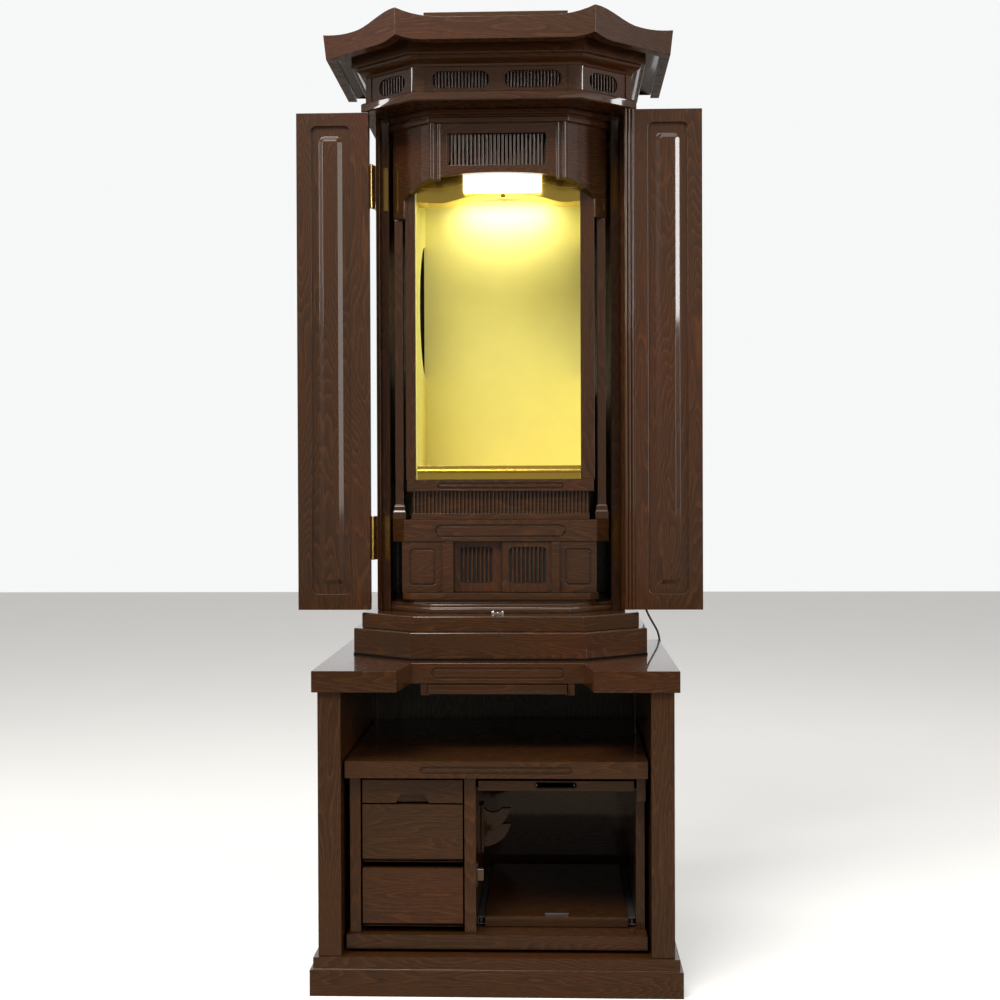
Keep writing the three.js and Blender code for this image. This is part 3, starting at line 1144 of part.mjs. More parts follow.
// Folding doors in their open places: each pair lies folded, inner face to inner face
function doors() {
  const [, [cornerX, cornerY]] = plan(LEAF_SET);
  const pinX = cornerX + LEAF_CANT * Math.cos(CANT);
  const pinY = cornerY + LEAF_CANT * Math.sin(CANT);
  const foldX = pinX + LEAF_CANT;
  const shift = foldX - cornerX;
  const mitre = LEAF_THICK * Math.tan(CANT / 2);

  // A raised field with bevelled edges in a sunk panel, on the face at y whose inside lies towards dir
  const panelTool = (y, dir) => {
    const x1 = foldX - PANEL_FOLD_MARGIN;
    const x0 = x1 - PANEL_WIDE;
    const z0 = LEAF_LOW + PANEL_MARGIN_LOW;
    const z1 = LEAF_HIGH - PANEL_MARGIN_HIGH;
    const outer = upright(roundedRect(x0, x1, z0, z1, PANEL_RADIUS, 4), -1, PANEL_DEEP);
    const field = (inset) => roundedPoints(x0 + FIELD_SIDE + inset, x1 - FIELD_SIDE - inset,
      z0 + FIELD_END + inset, z1 - FIELD_END - inset, Math.max(PANEL_RADIUS - inset, 3), 3);
    const raised = loft([
      { points: field(-FIELD_BEVEL / PANEL_DEEP), z: -PANEL_DEEP - 1 },
      { points: field(FIELD_BEVEL), z: 0 },
      { points: field(FIELD_BEVEL + 1), z: 2 },
    ]);
    raised.rotateX(Math.PI / 2);
    const tool = cut(outer, raised);
    if (dir < 0) {
      tool.scale(1, -1, 1);
      flip(tool);
    }
    return tool.translate(0, y, 0);
  };

  for (const side of [-1, 1]) {
    const word = side < 0 ? 'left' : 'right';
    const set = (name, geometry, material) => {
      if (side < 0) {
        geometry.scale(-1, 1, 1);
        flip(geometry);
      }
      add(`${name}_${word}`, geometry, material);
    };
    // Side leaf: its outer face to the back on the pin's plane
    const sideIn = pinY - LEAF_THICK;
    const sideLeaf = prism([
      [pinX + PIN_GAP, sideIn], [foldX - mitre - MITRE_GAP, sideIn],
      [foldX - MITRE_GAP, pinY], [pinX + PIN_GAP, pinY],
    ], LEAF_LOW, LEAF_HIGH);
    set('door_side', cut(sideLeaf, panelTool(pinY, -1)), darkWood);

    // Front leaf folded before it, its outer face to the front
    const near = sideIn - FOLD_GAP - LEAF_THICK;
    const far = near + LEAF_THICK;
    const freeX = side < 0 ? shift - MEET_X + MEET_GAP : shift + MEET_X;
    const leaf = prism([
      [freeX, near], [foldX - MITRE_GAP, near], [foldX - mitre - MITRE_GAP, far], [freeX, far],
    ], LEAF_LOW, LEAF_HIGH);
    let front = cut(leaf, panelTool(near, 1));
    if (side > 0) {
      const outline = [[freeX, near + 1]];
      for (let reed = 0; reed < REED_COUNT; reed += 1) {
        for (let i = 0; i <= 4; i += 1) {
          const x = freeX + (reed + i / 4) * REED_WIDE;
          outline.push([x, near - REED_PROUD * Math.sin((i / 4) * Math.PI) - 0.01 * i]);
        }
      }
      outline.push([freeX + REED_COUNT * REED_WIDE, near + 1]);
      front = join(front, prism(outline, LEAF_LOW, LEAF_HIGH));
    }
    set('door_front', front, darkWood);

    // Butt hinges on the outside of the wall
    HINGE_HEIGHTS.forEach((z, level) => {
      const z0 = z - HINGE_LONG / 2;
      const z1 = z + HINGE_LONG / 2;
      const barrel = new THREE.CylinderGeometry(HINGE_RADIUS, HINGE_RADIUS, HINGE_LONG, 12);
      barrel.rotateX(Math.PI / 2).translate(pinX, pinY, z);
      const wallX = WALL_OUT + TOUCH;
      const plateY = pinY + 12;
      const plate = box(wallX, wallX + HINGE_PLATE, plateY, plateY + HINGE_REACH, z0, z1);
      const arm = prism([
        [wallX, plateY + 1], [pinX - 1.5, pinY + 1], [pinX + 1.5, pinY + 2],
        [wallX + HINGE_PLATE, plateY + 6], [wallX, plateY + 6],
      ], z0, z1);
      set(`hinge_${level === 0 ? 'low' : 'high'}`, join(barrel, plate, arm), brass);
    });
  }
}
// Cord of the lamp, out of the right wall, over the stand's corner and down behind it
function cord() {
  const exit = new THREE.Vector3(WALL_OUT + TOUCH, CABINET_REAR - CORD_EXIT_SET, CORD_EXIT_Z);
  const relief = new THREE.LatheGeometry([
    new THREE.Vector2(0, 0),
    new THREE.Vector2(RELIEF_R, 0),
    new THREE.Vector2(RELIEF_R, 5),
    new THREE.Vector2(CORD_R + 1, RELIEF_LONG),
    new THREE.Vector2(0, RELIEF_LONG),
  ], 12);
  relief.rotateZ(-Math.PI / 2).translate(exit.x, exit.y, exit.z);
  add('cord_relief', relief, black);

  // Points with their depth measured from the rear face
  const coilY = STAND_DEPTH + COIL_BEHIND;
  const entryY = coilY - COIL_R + 2.1;
  const entry = entryY - STAND_DEPTH;
  const route = [
    [exit.x + RELIEF_LONG + TOUCH, -CORD_EXIT_SET, CORD_EXIT_Z],
    [exit.x + RELIEF_LONG + 4, -CORD_EXIT_SET, CORD_EXIT_Z - 0.5],
    [261, -7.5, 632],
    [266, -6, 617],
    [271, -4, 600],
    [280, -1, 578],
    [290, 3, 560],
    [298, 5, 545],
    [302, 7, 528],
    [304, 9, 505],
    [304, 10, 465],
    [301, 10, 400],
    [296, 10, 320],
    [291, 10, 240],
    [287, 10, 160],
    [284, 11, 90],
    [281, 15, 44],
    [276, 21, 18],
    [265, 25, 5],
    [250, entry, CORD_R + 0.3],
    [COIL_X + COIL_R - 3, entry, CORD_R + 0.2],
  ].map(([x, y, z]) => new THREE.Vector3(x, STAND_DEPTH + y, z));
  const path = new THREE.CatmullRomCurve3(route, false, 'centripetal');
  const section = new THREE.Shape(Array.from({ length: CORD_SIDES }, (_, i) => {
    const angle = (i / CORD_SIDES) * Math.PI * 2;
    return new THREE.Vector2(CORD_R * Math.cos(angle), CORD_R * Math.sin(angle));
  }));
  const tube = new THREE.ExtrudeGeometry(
    section, { steps: CORD_STEPS, bevelEnabled: false, extrudePath: path },
  );
  add('power_cord', tube, black);

  const ring = new THREE.LatheGeometry(ringSection(COIL_R, COIL_HALF_WIDE, COIL_HALF_HIGH, 8), 20);
  ring.rotateX(Math.PI / 2).translate(COIL_X, coilY, COIL_HALF_HIGH);
  add('cord_coil', ring, black);

  const plugX = COIL_X - COIL_R - COIL_HALF_WIDE - PLUG_LONG - 7;
  const plugY = entryY;
  const plug = join(
    box(plugX, plugX + PLUG_LONG, plugY - PLUG_WIDE / 2, plugY + PLUG_WIDE / 2, 0, PLUG_THICK),
    box(plugX - 16, plugX + 1, plugY - 7, plugY - 5.5, 4, 10.5),
    box(plugX - 16, plugX + 1, plugY + 5.5, plugY + 7, 4, 10.5),
  );
  add('plug', plug, black);
}
function ringSection(radius, halfWide, halfHigh, sides) {
  const points = [];
  for (let i = 0; i <= sides; i += 1) {
    const angle = (i / sides) * Math.PI * 2;
    points.push(new THREE.Vector2(radius + halfWide * Math.cos(angle), halfHigh * Math.sin(angle)));
  }
  return points;
}

stand();
unit();
base();
walls();
lowerAltar();
niche();
valance();
crown();
doors();
cord();

export default group;
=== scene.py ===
"""Household altar cabinet on its stand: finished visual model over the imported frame."""

import json
import math

import bmesh
import bpy
from mathutils import Matrix, Vector


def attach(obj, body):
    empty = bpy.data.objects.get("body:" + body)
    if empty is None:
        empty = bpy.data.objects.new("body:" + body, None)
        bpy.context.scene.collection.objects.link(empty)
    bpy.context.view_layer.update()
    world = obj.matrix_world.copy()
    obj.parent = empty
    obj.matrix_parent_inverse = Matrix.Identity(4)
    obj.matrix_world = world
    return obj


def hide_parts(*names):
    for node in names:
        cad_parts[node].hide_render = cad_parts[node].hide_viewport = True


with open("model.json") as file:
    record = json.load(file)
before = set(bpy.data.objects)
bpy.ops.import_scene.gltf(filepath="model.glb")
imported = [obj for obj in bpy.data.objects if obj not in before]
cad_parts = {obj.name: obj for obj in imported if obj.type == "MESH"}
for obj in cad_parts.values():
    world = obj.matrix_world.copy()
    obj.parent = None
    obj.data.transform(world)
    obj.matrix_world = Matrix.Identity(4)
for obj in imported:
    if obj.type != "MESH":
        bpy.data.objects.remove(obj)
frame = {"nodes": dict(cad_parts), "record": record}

bl_info = {
    "name": "Household altar cabinet",
    "version": (1, 0, 0),
    "blender": (4, 5, 0),
    "location": "View3D > Sidebar > Altar",
    "description": "Builds a lacquered altar cabinet on its stand, piece by piece",
    "category": "Object",
}

MM = 0.001
MIDDLE = 251.5                  # depth of the frame's origin behind the stand top's front edge
RECORD = frame["record"]
BODIES = RECORD["behaviour"]["bodies"]
BODY_OF = {node: body for body, nodes in BODIES.items() for node in nodes}
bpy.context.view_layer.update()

CANT = math.radians(39.5)       # turn of the cabinet's canted ends
LAMP_TINT = (1.0, 0.96, 0.84)
DAY_TINT = (1.0, 0.96, 0.9)

UPRIGHT, ACROSS, AROUND = "Z", "X", "XY"


def at(x, y, z):
    """A point given in millimetres, with its depth from the stand's front."""
    return Vector((x * MM, (y - MIDDLE) * MM, z * MM))


# Materials


def new_material(name):
    material = bpy.data.materials.new(name)
    material.use_nodes = True
    tree = material.node_tree
    shader = next(n for n in tree.nodes if n.type == "BSDF_PRINCIPLED")
    return material, tree, shader


def add_node(tree, kind, values=None, **settings):
    node = tree.nodes.new(kind)
    for key, value in settings.items():
        setattr(node, key, value)
    for key, value in (values or {}).items():
        node.inputs[key].default_value = value
    return node


def ramp(tree, stops, source):
    node = tree.nodes.new("ShaderNodeValToRGB")
    elements = node.color_ramp.elements
    while len(elements) < len(stops):
        elements.new(0.5)
    for element, (place, colour) in zip(elements, stops):
        element.position = place
        element.color = (*colour, 1.0)
    tree.links.new(source, node.inputs["Fac"])
    return node.outputs["Color"]


def grey(value):
    return (value, value, value)


def coordinates(tree, scale, shift=(0, 0, 0), turn=(0, 0, 0)):
    place = add_node(tree, "ShaderNodeTexCoord")
    mapping = add_node(tree, "ShaderNodeMapping", {"Scale": scale, "Location": shift, "Rotation": turn})
    tree.links.new(place.outputs["Object"], mapping.inputs["Vector"])
    return mapping.outputs["Vector"]


def mixed(tree, kind, a, b, factor):
    node = add_node(tree, "ShaderNodeMix", data_type="RGBA", blend_type=kind)
    for source, place in ((factor, 0), (a, 6), (b, 7)):
        if hasattr(source, "is_output"):
            tree.links.new(source, node.inputs[place])
        else:
            node.inputs[place].default_value = source
    return node.outputs[2]


def bump(tree, shader, height, strength, distance):
    node = add_node(tree, "ShaderNodeBump", {"Strength": strength, "Distance": distance})
    tree.links.new(height, node.inputs["Height"])
    tree.links.new(node.outputs["Normal"], shader.inputs["Normal"])


def wood(name, grain, shift=0.0, gloss=None, plain=False):
    """Dark stained wood under clear lacquer, its figure running along the grain axis."""
    look = bpy.context.scene.altar_look
    material, tree, shader = new_material(name)
    slow = look.grain_stretch
    along = tuple(slow if axis in grain else 1.0 for axis in "XYZ")
    place = (shift * 0.37, shift * 0.61, shift * 0.23)

    # Growth rings cut at a slant, bent by a slow noise, make the arches of flat-sawn boards
    wide = coordinates(tree, tuple(v * 9.0 for v in along), place)
    drift = add_node(tree, "ShaderNodeTexNoise", {"Scale": 1.0, "Detail": 3.0, "Roughness": 0.42})
    tree.links.new(wide, drift.inputs["Vector"])
    rings = add_node(tree, "ShaderNodeMath", {1: look.ring_count}, operation="MULTIPLY")
    tree.links.new(drift.outputs["Fac"], rings.inputs[0])
    saw = add_node(tree, "ShaderNodeMath", operation="FRACT")
    tree.links.new(rings.outputs[0], saw.inputs[0])
    figure = ramp(tree, [(0.0, grey(0.3)), (0.1, grey(1.0)), (0.32, grey(0.5)), (0.8, grey(0.2)), (1.0, grey(0.1))],
                  saw.outputs[0])

    # Short dark pores along the grain
    fine = coordinates(tree, tuple(60.0 if v == slow else 900.0 for v in along), place)
    pores = add_node(tree, "ShaderNodeTexNoise", {"Scale": 1.0, "Detail": 2.0, "Roughness": 0.6})
    tree.links.new(fine, pores.inputs["Vector"])
    pore = ramp(tree, [(0.38, grey(0.0)), (0.58, grey(1.0))], pores.outputs["Fac"])

    dark, mid, light = tuple(look.wood_dark), tuple(look.wood_mid), tuple(look.wood_light)
    if plain:
        dark, mid, light = (tuple(look.plain_wood[i] * k for i in range(3)) for k in (0.7, 1.0, 1.15))
    colour = ramp(tree, [(0.0, dark), (0.45, mid), (1.0, light)], figure)
    colour = mixed(tree, "MULTIPLY", colour, ramp(tree, [(0.0, grey(0.5)), (1.0, grey(1.0))], pore), 0.8)

    # Boards are redder in some places and browner in others
    cloud = add_node(tree, "ShaderNodeTexNoise", {"Scale": 5.0, "Detail": 2.0})
    tree.links.new(coordinates(tree, tuple(0.35 if v == slow else 1.0 for v in along), place), cloud.inputs["Vector"])
    tint = ramp(tree, [(0.3, (0.74, 0.8, 0.84)), (0.5, (0.95, 0.95, 0.95)), (0.72, (1.25, 0.95, 0.82))],
                cloud.outputs["Fac"])
    colour = mixed(tree, "MULTIPLY", colour, tint, 0.9)
    tree.links.new(colour, shader.inputs["Base Color"])

    rough = ramp(tree, [(0.0, grey(0.5)), (1.0, grey(0.36 if not plain else 0.5))], pore)
    tree.links.new(rough, shader.inputs["Roughness"])
    shader.inputs["Specular IOR Level"].default_value = 0.14
    shader.inputs["Coat Weight"].default_value = 0.3 if plain else look.lacquer
    shader.inputs["Coat Roughness"].default_value = look.lacquer_roughness if gloss is None else gloss
    bump(tree, shader, pore, 0.2, 0.0002)
    return material


def leaf_gold(name, polished=False):
    """Pale gold leaf, faintly cloudy, dull on the walls and polished on the mouldings."""
    look = bpy.context.scene.altar_look
    material, tree, shader = new_material(name)
    place = coordinates(tree, (1, 1, 1))
    cloud = add_node(tree, "ShaderNodeTexNoise", {"Scale": 16.0, "Detail": 4.0, "Roughness": 0.6})
    tree.links.new(place, cloud.inputs["Vector"])
    base = tuple(look.gold_polished if polished else look.gold)
    darker = tuple(v * 0.95 for v in base)
    tree.links.new(ramp(tree, [(0.25, darker), (0.7, base)], cloud.outputs["Fac"]), shader.inputs["Base Color"])
    shader.inputs["Metallic"].default_value = 0.95 if polished else 0.0
    shader.inputs["Specular IOR Level"].default_value = 0.5 if polished else 0.15
    dull = 0.2 if polished else 0.46
    rough = ramp(tree, [(0.2, grey(dull)), (0.8, grey(dull + 0.06))], cloud.outputs["Fac"])
    tree.links.new(rough, shader.inputs["Roughness"])
    fine = add_node(tree, "ShaderNodeTexNoise", {"Scale": 260.0, "Detail": 2.0})
    tree.links.new(place, fine.inputs["Vector"])
    bump(tree, shader, fine.outputs["Fac"], 0.06, 0.0003)
    return material


def metal(name, colour, roughness, brushed=0.0):
    material, tree, shader = new_material(name)
    noise = add_node(tree, "ShaderNodeTexNoise", {"Scale": 1.0, "Detail": 3.0})
    tree.links.new(coordinates(tree, (900.0, 900.0, 60.0)), noise.inputs["Vector"])
    darker = tuple(v * 0.8 for v in colour)
    tree.links.new(ramp(tree, [(0.3, darker), (0.7, colour)], noise.outputs["Fac"]), shader.inputs["Base Color"])
    rough = ramp(tree, [(0.3, grey(roughness)), (0.7, grey(roughness + 0.12))], noise.outputs["Fac"])
    tree.links.new(rough, shader.inputs["Roughness"])
    shader.inputs["Metallic"].default_value = 1.0
    bump(tree, shader, noise.outputs["Fac"], 0.05 + brushed, 0.0002)
    return material


def plastic(name, colour, roughness, grain=400.0):
    material, tree, shader = new_material(name)
    noise = add_node(tree, "ShaderNodeTexNoise", {"Scale": grain, "Detail": 2.0})
    tree.links.new(coordinates(tree, (1, 1, 1)), noise.inputs["Vector"])
    lighter = tuple(min(v * 1.5 + 0.002, 1.0) for v in colour)
    tree.links.new(ramp(tree, [(0.3, colour), (0.75, lighter)], noise.outputs["Fac"]), shader.inputs["Base Color"])
    rough = ramp(tree, [(0.3, grey(roughness)), (0.7, grey(min(roughness + 0.1, 1.0)))], noise.outputs["Fac"])
    tree.links.new(rough, shader.inputs["Roughness"])
    bump(tree, shader, noise.outputs["Fac"], 0.1, 0.0002)
    return material


def felt(name):
    material, tree, shader = new_material(name)
    noise = add_node(tree, "ShaderNodeTexNoise", {"Scale": 900.0, "Detail": 3.0})
    tree.links.new(coordinates(tree, (1, 1, 1)), noise.inputs["Vector"])
    colour = ramp(tree, [(0.3, grey(0.002)), (0.75, grey(0.006))], noise.outputs["Fac"])
    tree.links.new(colour, shader.inputs["Base Color"])
    shader.inputs["Roughness"].default_value = 0.95
    shader.inputs["Specular IOR Level"].default_value = 0.1
    bump(tree, shader, noise.outputs["Fac"], 0.6, 0.0005)
    return material


def diffuser(name):
    look = bpy.context.scene.altar_look
    material, tree, shader = new_material(name)
    noise = add_node(tree, "ShaderNodeTexNoise", {"Scale": 30.0, "Detail": 1.0})
    tree.links.new(coordinates(tree, (1, 1, 1)), noise.inputs["Vector"])
    glow = ramp(tree, [(0.2, (0.93, 0.86, 0.66)), (0.8, (1.0, 0.94, 0.78))], noise.outputs["Fac"])
    tree.links.new(glow, shader.inputs["Base Color"])
    tree.links.new(glow, shader.inputs["Emission Color"])
    shader.inputs["Emission Strength"].default_value = look.lamp_glow
    shader.inputs["Roughness"].default_value = 0.4
    return material


# Meshes


def finish_mesh(name, bm, material, body="cabinet", smooth=40.0, weighted=True):
    """Turns a bmesh into a named piece at the origin that rides on its body."""
    bmesh.ops.recalc_face_normals(bm, faces=bm.faces)
    limit = math.radians(smooth)
    for face in bm.faces:
        face.smooth = True
    for edge in bm.edges:
        edge.smooth = not edge.is_manifold or edge.calc_face_angle(0.0) < limit
    mesh = bpy.data.meshes.new(name)
    bm.to_mesh(mesh)
    bm.free()
    mesh.materials.append(material)
    piece = bpy.data.objects.new(name, mesh)
    bpy.context.collection.objects.link(piece)
    if weighted:
        normals = piece.modifiers.new("Even normals", "WEIGHTED_NORMAL")
        normals.keep_sharp = True
    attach(piece, body)
    return piece


def dress(node, material, width=0.7, segments=2, angle=28.0):
    """A copy of a CAD node with its doubles merged and, unless slots pierce it, its arrises rounded, in the node's
    place.
    """
    grilled = node in GRILLED
    bm = bmesh.new()
    bm.from_mesh(frame["nodes"][node].data)
    bmesh.ops.remove_doubles(bm, verts=bm.verts, dist=1e-6)
    if not grilled:
        bmesh.ops.dissolve_limit(bm, angle_limit=math.radians(0.5), verts=bm.verts, edges=bm.edges)
    if width and not grilled:
        limit = math.radians(angle)
        edges = [e for e in bm.edges if e.is_manifold and e.calc_face_angle(0.0) > limit]
        bmesh.ops.bevel(
            bm, geom=edges, offset=width * MM, offset_type="OFFSET", segments=segments, profile=0.5,
            affect="EDGES", clamp_overlap=False, material=-1,
        )
    piece = finish_mesh(node + "_finished", bm, material, BODY_OF[node])
    if grilled:
        # The faces in the slots between the slats are painted nearly black, as painted shade
        piece.data.materials.append(plastic("painted_shade_" + node, (0.004, 0.0025, 0.0015), 0.6))
        low, high, near, far, half = GRILLED[node]
        for face in piece.data.polygons:
            x, y, z = face.center / MM
            in_painted_shade = low < z < high and near < front_depth(node, x, y + MIDDLE) < far and abs(x) < half
            face.material_index = int(in_painted_shade)
    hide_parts(node)
    return piece


def front_depth(node, x, y):
    """Depth in millimetres of a point behind the node's front, which has canted ends on the transom."""
    if node != "transom":
        return y - DOOR_FRONTS[node]
    canted = (y - TRANSOM_CORNER[1]) * math.cos(CANT) - (abs(x) - TRANSOM_CORNER[0]) * math.sin(CANT)
    return min(y - TRANSOM_CORNER[1], canted)


def reeds_into(bm, x0, x1, z0, z1, corner, pitch, gap, front, place=None):
    """Adds round faces to the slats of a grille between x0 and x1, which stand at the depth named front."""
    count = math.floor((x1 - x0 - gap) / pitch) + 1
    first = (x0 + x1) / 2 - (count - 1) * pitch / 2
    radius = (pitch - gap) / 2
    for i in range(count - 1):
        x = first + (i + 0.5) * pitch
        inset = max(corner - min(x - x0, x1 - x), 0)
        lift = corner - math.sqrt(max(corner * corner - inset * inset, 0)) + 0.4
        start, end = (x, front + 0.3, z0 + lift), (x, front + 0.3, z1 - lift)
        if place:
            start, end = place(*start), place(*end)
        rod_into(bm, start, end, radius, segments=12)


def box_into(bm, lo, hi, bevel=0.0, segments=2):
    """Adds a box between two corners in millimetres to a bmesh, its edges rounded."""
    low, high = at(*lo), at(*hi)
    size = high - low
    place = Matrix.Translation((low + high) / 2) @ Matrix.Diagonal((*size, 1.0))
    made = bmesh.ops.create_cube(bm, size=1.0, matrix=place)
    if bevel:
        verts = set(made["verts"])
        edges = [e for e in bm.edges if e.verts[0] in verts and e.verts[1] in verts]
        bmesh.ops.bevel(
            bm, geom=edges, offset=bevel * MM, offset_type="OFFSET", segments=segments, profile=0.5,
            affect="EDGES", clamp_overlap=True, material=-1,
        )


def rod_into(bm, start, end, radius, end_radius=None, segments=16):
    """Adds a capped rod between two points in millimetres."""
    a, b = at(*start), at(*end)
    axis = b - a
    turn = axis.to_track_quat("Z", "Y").to_matrix().to_4x4()
    bmesh.ops.create_cone(
        bm, cap_ends=True, cap_tris=False, segments=segments, radius1=radius * MM,
        radius2=(radius if end_radius is None else end_radius) * MM, depth=axis.length,
        matrix=Matrix.Translation((a + b) / 2) @ turn,
    )


def dome_into(bm, centre, radius, flat, axis="Y", segments=16):
    """Adds a low dome, such as a screw head or knob, at a point in millimetres."""
    scale = {"X": (flat, 1, 1), "Y": (1, flat, 1), "Z": (1, 1, flat)}[axis]
    place = Matrix.Translation(at(*centre)) @ Matrix.Diagonal((*scale, 1.0))
    bmesh.ops.create_uvsphere(bm, u_segments=segments, v_segments=segments // 2, radius=radius * MM, matrix=place)


# Groups of nodes, with the way their grain runs

STAND_NODES = {
    "stand_plinth": ACROSS, "stand_side_left": UPRIGHT, "stand_side_right": UPRIGHT, "stand_top": ACROSS,
    "slide_shelf": ACROSS,
}
MIRROR_GLOSS = {"stand_top": 0.03}
# Nodes pierced by many slots keep their own faces and sharp edges, and the faces in their slots are painted nearly
# black as shade. For each one the slots' lowest and highest point, least and greatest depth behind the front, and
# greatest distance from the middle, in millimetres, which bound the painted shade
GRILLED = {
    "transom": (1520, 1550, 5.3, 11.5, 240), "sliding_door_left": (655, 721, 2.7, 5.8, 80),
    "sliding_door_right": (655, 721, 2.7, 5.8, 86),
}
DOOR_FRONTS = {"sliding_door_left": 273, "sliding_door_right": 263}
TRANSOM_CORNER = (143.38, 171.0)
UNIT_NODES = {
    "unit_top": ACROSS, "unit_side_left": UPRIGHT, "unit_partition": UPRIGHT, "unit_side_right": UPRIGHT,
    "unit_bottom": ACROSS, "drawer_bottom": ACROSS, "drawer_middle": ACROSS, "drawer_small": ACROSS,
    "pull_out_board": ACROSS, "tray": ACROSS, "bead_hooks": ACROSS,
}
BASE_NODES = {"base_step_low": AROUND, "base_step_mid": AROUND, "altar_floor": AROUND}
WALL_NODES = {"cabinet_side_left": UPRIGHT, "cabinet_side_right": UPRIGHT, "inner_post_left": UPRIGHT,
              "inner_post_right": UPRIGHT, "niche_wall_left": UPRIGHT, "niche_wall_right": UPRIGHT}
ALTAR_NODES = {
    "row_end_left": ACROSS, "row_end_right": ACROSS, "sliding_door_left": UPRIGHT, "sliding_door_right": UPRIGHT,
    "second_shelf": AROUND, "ribbed_panel": AROUND, "niche_shelf": ACROSS,
}
CROWN_NODES = {"valance": AROUND, "transom": AROUND, "cornice": AROUND, "roof_body": ACROSS, "roof_fascia": AROUND}
DOOR_NODES = {"door_side_left": UPRIGHT, "door_side_right": UPRIGHT, "door_front_left": UPRIGHT,
              "door_front_right": UPRIGHT}


def dress_group(nodes, width=0.7, gloss=None):
    for number, (node, grain) in enumerate(nodes.items()):
        shift = 1.7 * number + 0.9 * len(node)
        dress(node, wood("wood_" + node, grain, shift, MIRROR_GLOSS.get(node, gloss)), width)


class AltarLook(bpy.types.PropertyGroup):
    """Colours and finishes of the cabinet."""

    wood_dark: bpy.props.FloatVectorProperty(
        name="Dark grain", description="Colour of the darkest grain lines", subtype="COLOR", size=3,
        default=(0.035, 0.0125, 0.0035), min=0.0, max=1.0)
    wood_mid: bpy.props.FloatVectorProperty(
        name="Wood", description="Main colour of the stained wood", subtype="COLOR", size=3,
        default=(0.05, 0.0185, 0.005), min=0.0, max=1.0)
    wood_light: bpy.props.FloatVectorProperty(
        name="Light grain", description="Colour of the lightest grain", subtype="COLOR", size=3,
        default=(0.074, 0.0268, 0.0066), min=0.0, max=1.0)
    plain_wood: bpy.props.FloatVectorProperty(
        name="Plain wood", description="Colour of the unlacquered backs", subtype="COLOR", size=3,
        default=(0.11, 0.1, 0.07), min=0.0, max=1.0)
    grain_stretch: bpy.props.FloatProperty(
        name="Grain stretch", description="How slowly the figure changes along the grain", default=0.14,
        min=0.01, max=1.0, subtype="FACTOR")
    ring_count: bpy.props.FloatProperty(
        name="Grain lines", description="How many growth lines cross the figure", default=64.0, min=1.0, max=90.0)
    lacquer: bpy.props.FloatProperty(
        name="Lacquer", description="Strength of the clear coat", default=0.8, min=0.0, max=1.0, subtype="FACTOR")
    lacquer_roughness: bpy.props.FloatProperty(
        name="Lacquer roughness", description="How dull the clear coat is", default=0.07, min=0.0, max=1.0,
        subtype="FACTOR")
    gold: bpy.props.FloatVectorProperty(
        name="Gold", description="Colour of the gold leaf", subtype="COLOR", size=3,
        default=(0.74, 0.69, 0.205), min=0.0, max=1.0)
    gold_polished: bpy.props.FloatVectorProperty(
        name="Polished gold", description="Colour of the gilded mouldings", subtype="COLOR", size=3,
        default=(0.72, 0.52, 0.1), min=0.0, max=1.0)
    brass: bpy.props.FloatVectorProperty(
        name="Hinge brass", description="Colour of the butt hinges", subtype="COLOR", size=3,
        default=(0.8, 0.56, 0.16), min=0.0, max=1.0)
    lamp_glow: bpy.props.FloatProperty(
        name="Lamp glow", description="Strength of the lit diffuser", default=2.2, min=0.0, max=50.0)


class AltarStage(bpy.types.PropertyGroup):
    """Camera and studio."""

    eye: bpy.props.FloatVectorProperty(
        name="Eye", description="Camera position, with its depth from the stand's front, in millimetres", size=3,
        default=(98.0, -2428.0, 832.0))
    yaw: bpy.props.FloatProperty(
        name="Yaw", description="Camera turned to the left", default=math.radians(2.09), subtype="ANGLE")
    pitch: bpy.props.FloatProperty(
        name="Pitch", description="Camera turned upwards", default=math.radians(-0.57), subtype="ANGLE")
    roll: bpy.props.FloatProperty(
        name="Roll", description="Camera turned about its line of sight", default=math.radians(0.21),
        subtype="ANGLE")
    lens: bpy.props.FloatProperty(
        name="Lens", description="Focal length for a 36 mm sensor", default=54.0, min=10.0, unit="CAMERA")
    key_power: bpy.props.FloatProperty(
        name="Key light", description="Power of the main soft light in watts", default=170.0, min=0.0)
    fill_power: bpy.props.FloatProperty(
        name="Fill light", description="Power of the fill light in watts", default=30.0, min=0.0)
    side_power: bpy.props.FloatProperty(
        name="Side lights", description="Power of each high side light in watts", default=27.0, min=0.0)
    niche_power: bpy.props.FloatProperty(
        name="Niche light", description="Power of the light under the diffuser in watts", default=0.36, min=0.0)
    niche_fill: bpy.props.FloatProperty(
        name="Niche fill", description="Power of the even light in the niche in watts", default=0.13, min=0.0)
    world_strength: bpy.props.FloatProperty(
        name="Surroundings", description="Strength of the pale surroundings", default=0.3, min=0.0)


class CordSizes(bpy.types.PropertyGroup):
    """The lamp's cord."""

    diameter: bpy.props.FloatProperty(
        name="Diameter", description="Outside diameter of the cord", default=0.004, min=0.001, unit="LENGTH")
    inner_radius: bpy.props.FloatProperty(
        name="Inner turns", description="Radius of the coil's inner turns", default=0.0199, unit="LENGTH")
    outer_radius: bpy.props.FloatProperty(
        name="Outer turns", description="Radius of the coil's outer turns", default=0.0241, unit="LENGTH")
    rise: bpy.props.FloatProperty(
        name="Rise", description="Height between turns", default=0.0042, unit="LENGTH")


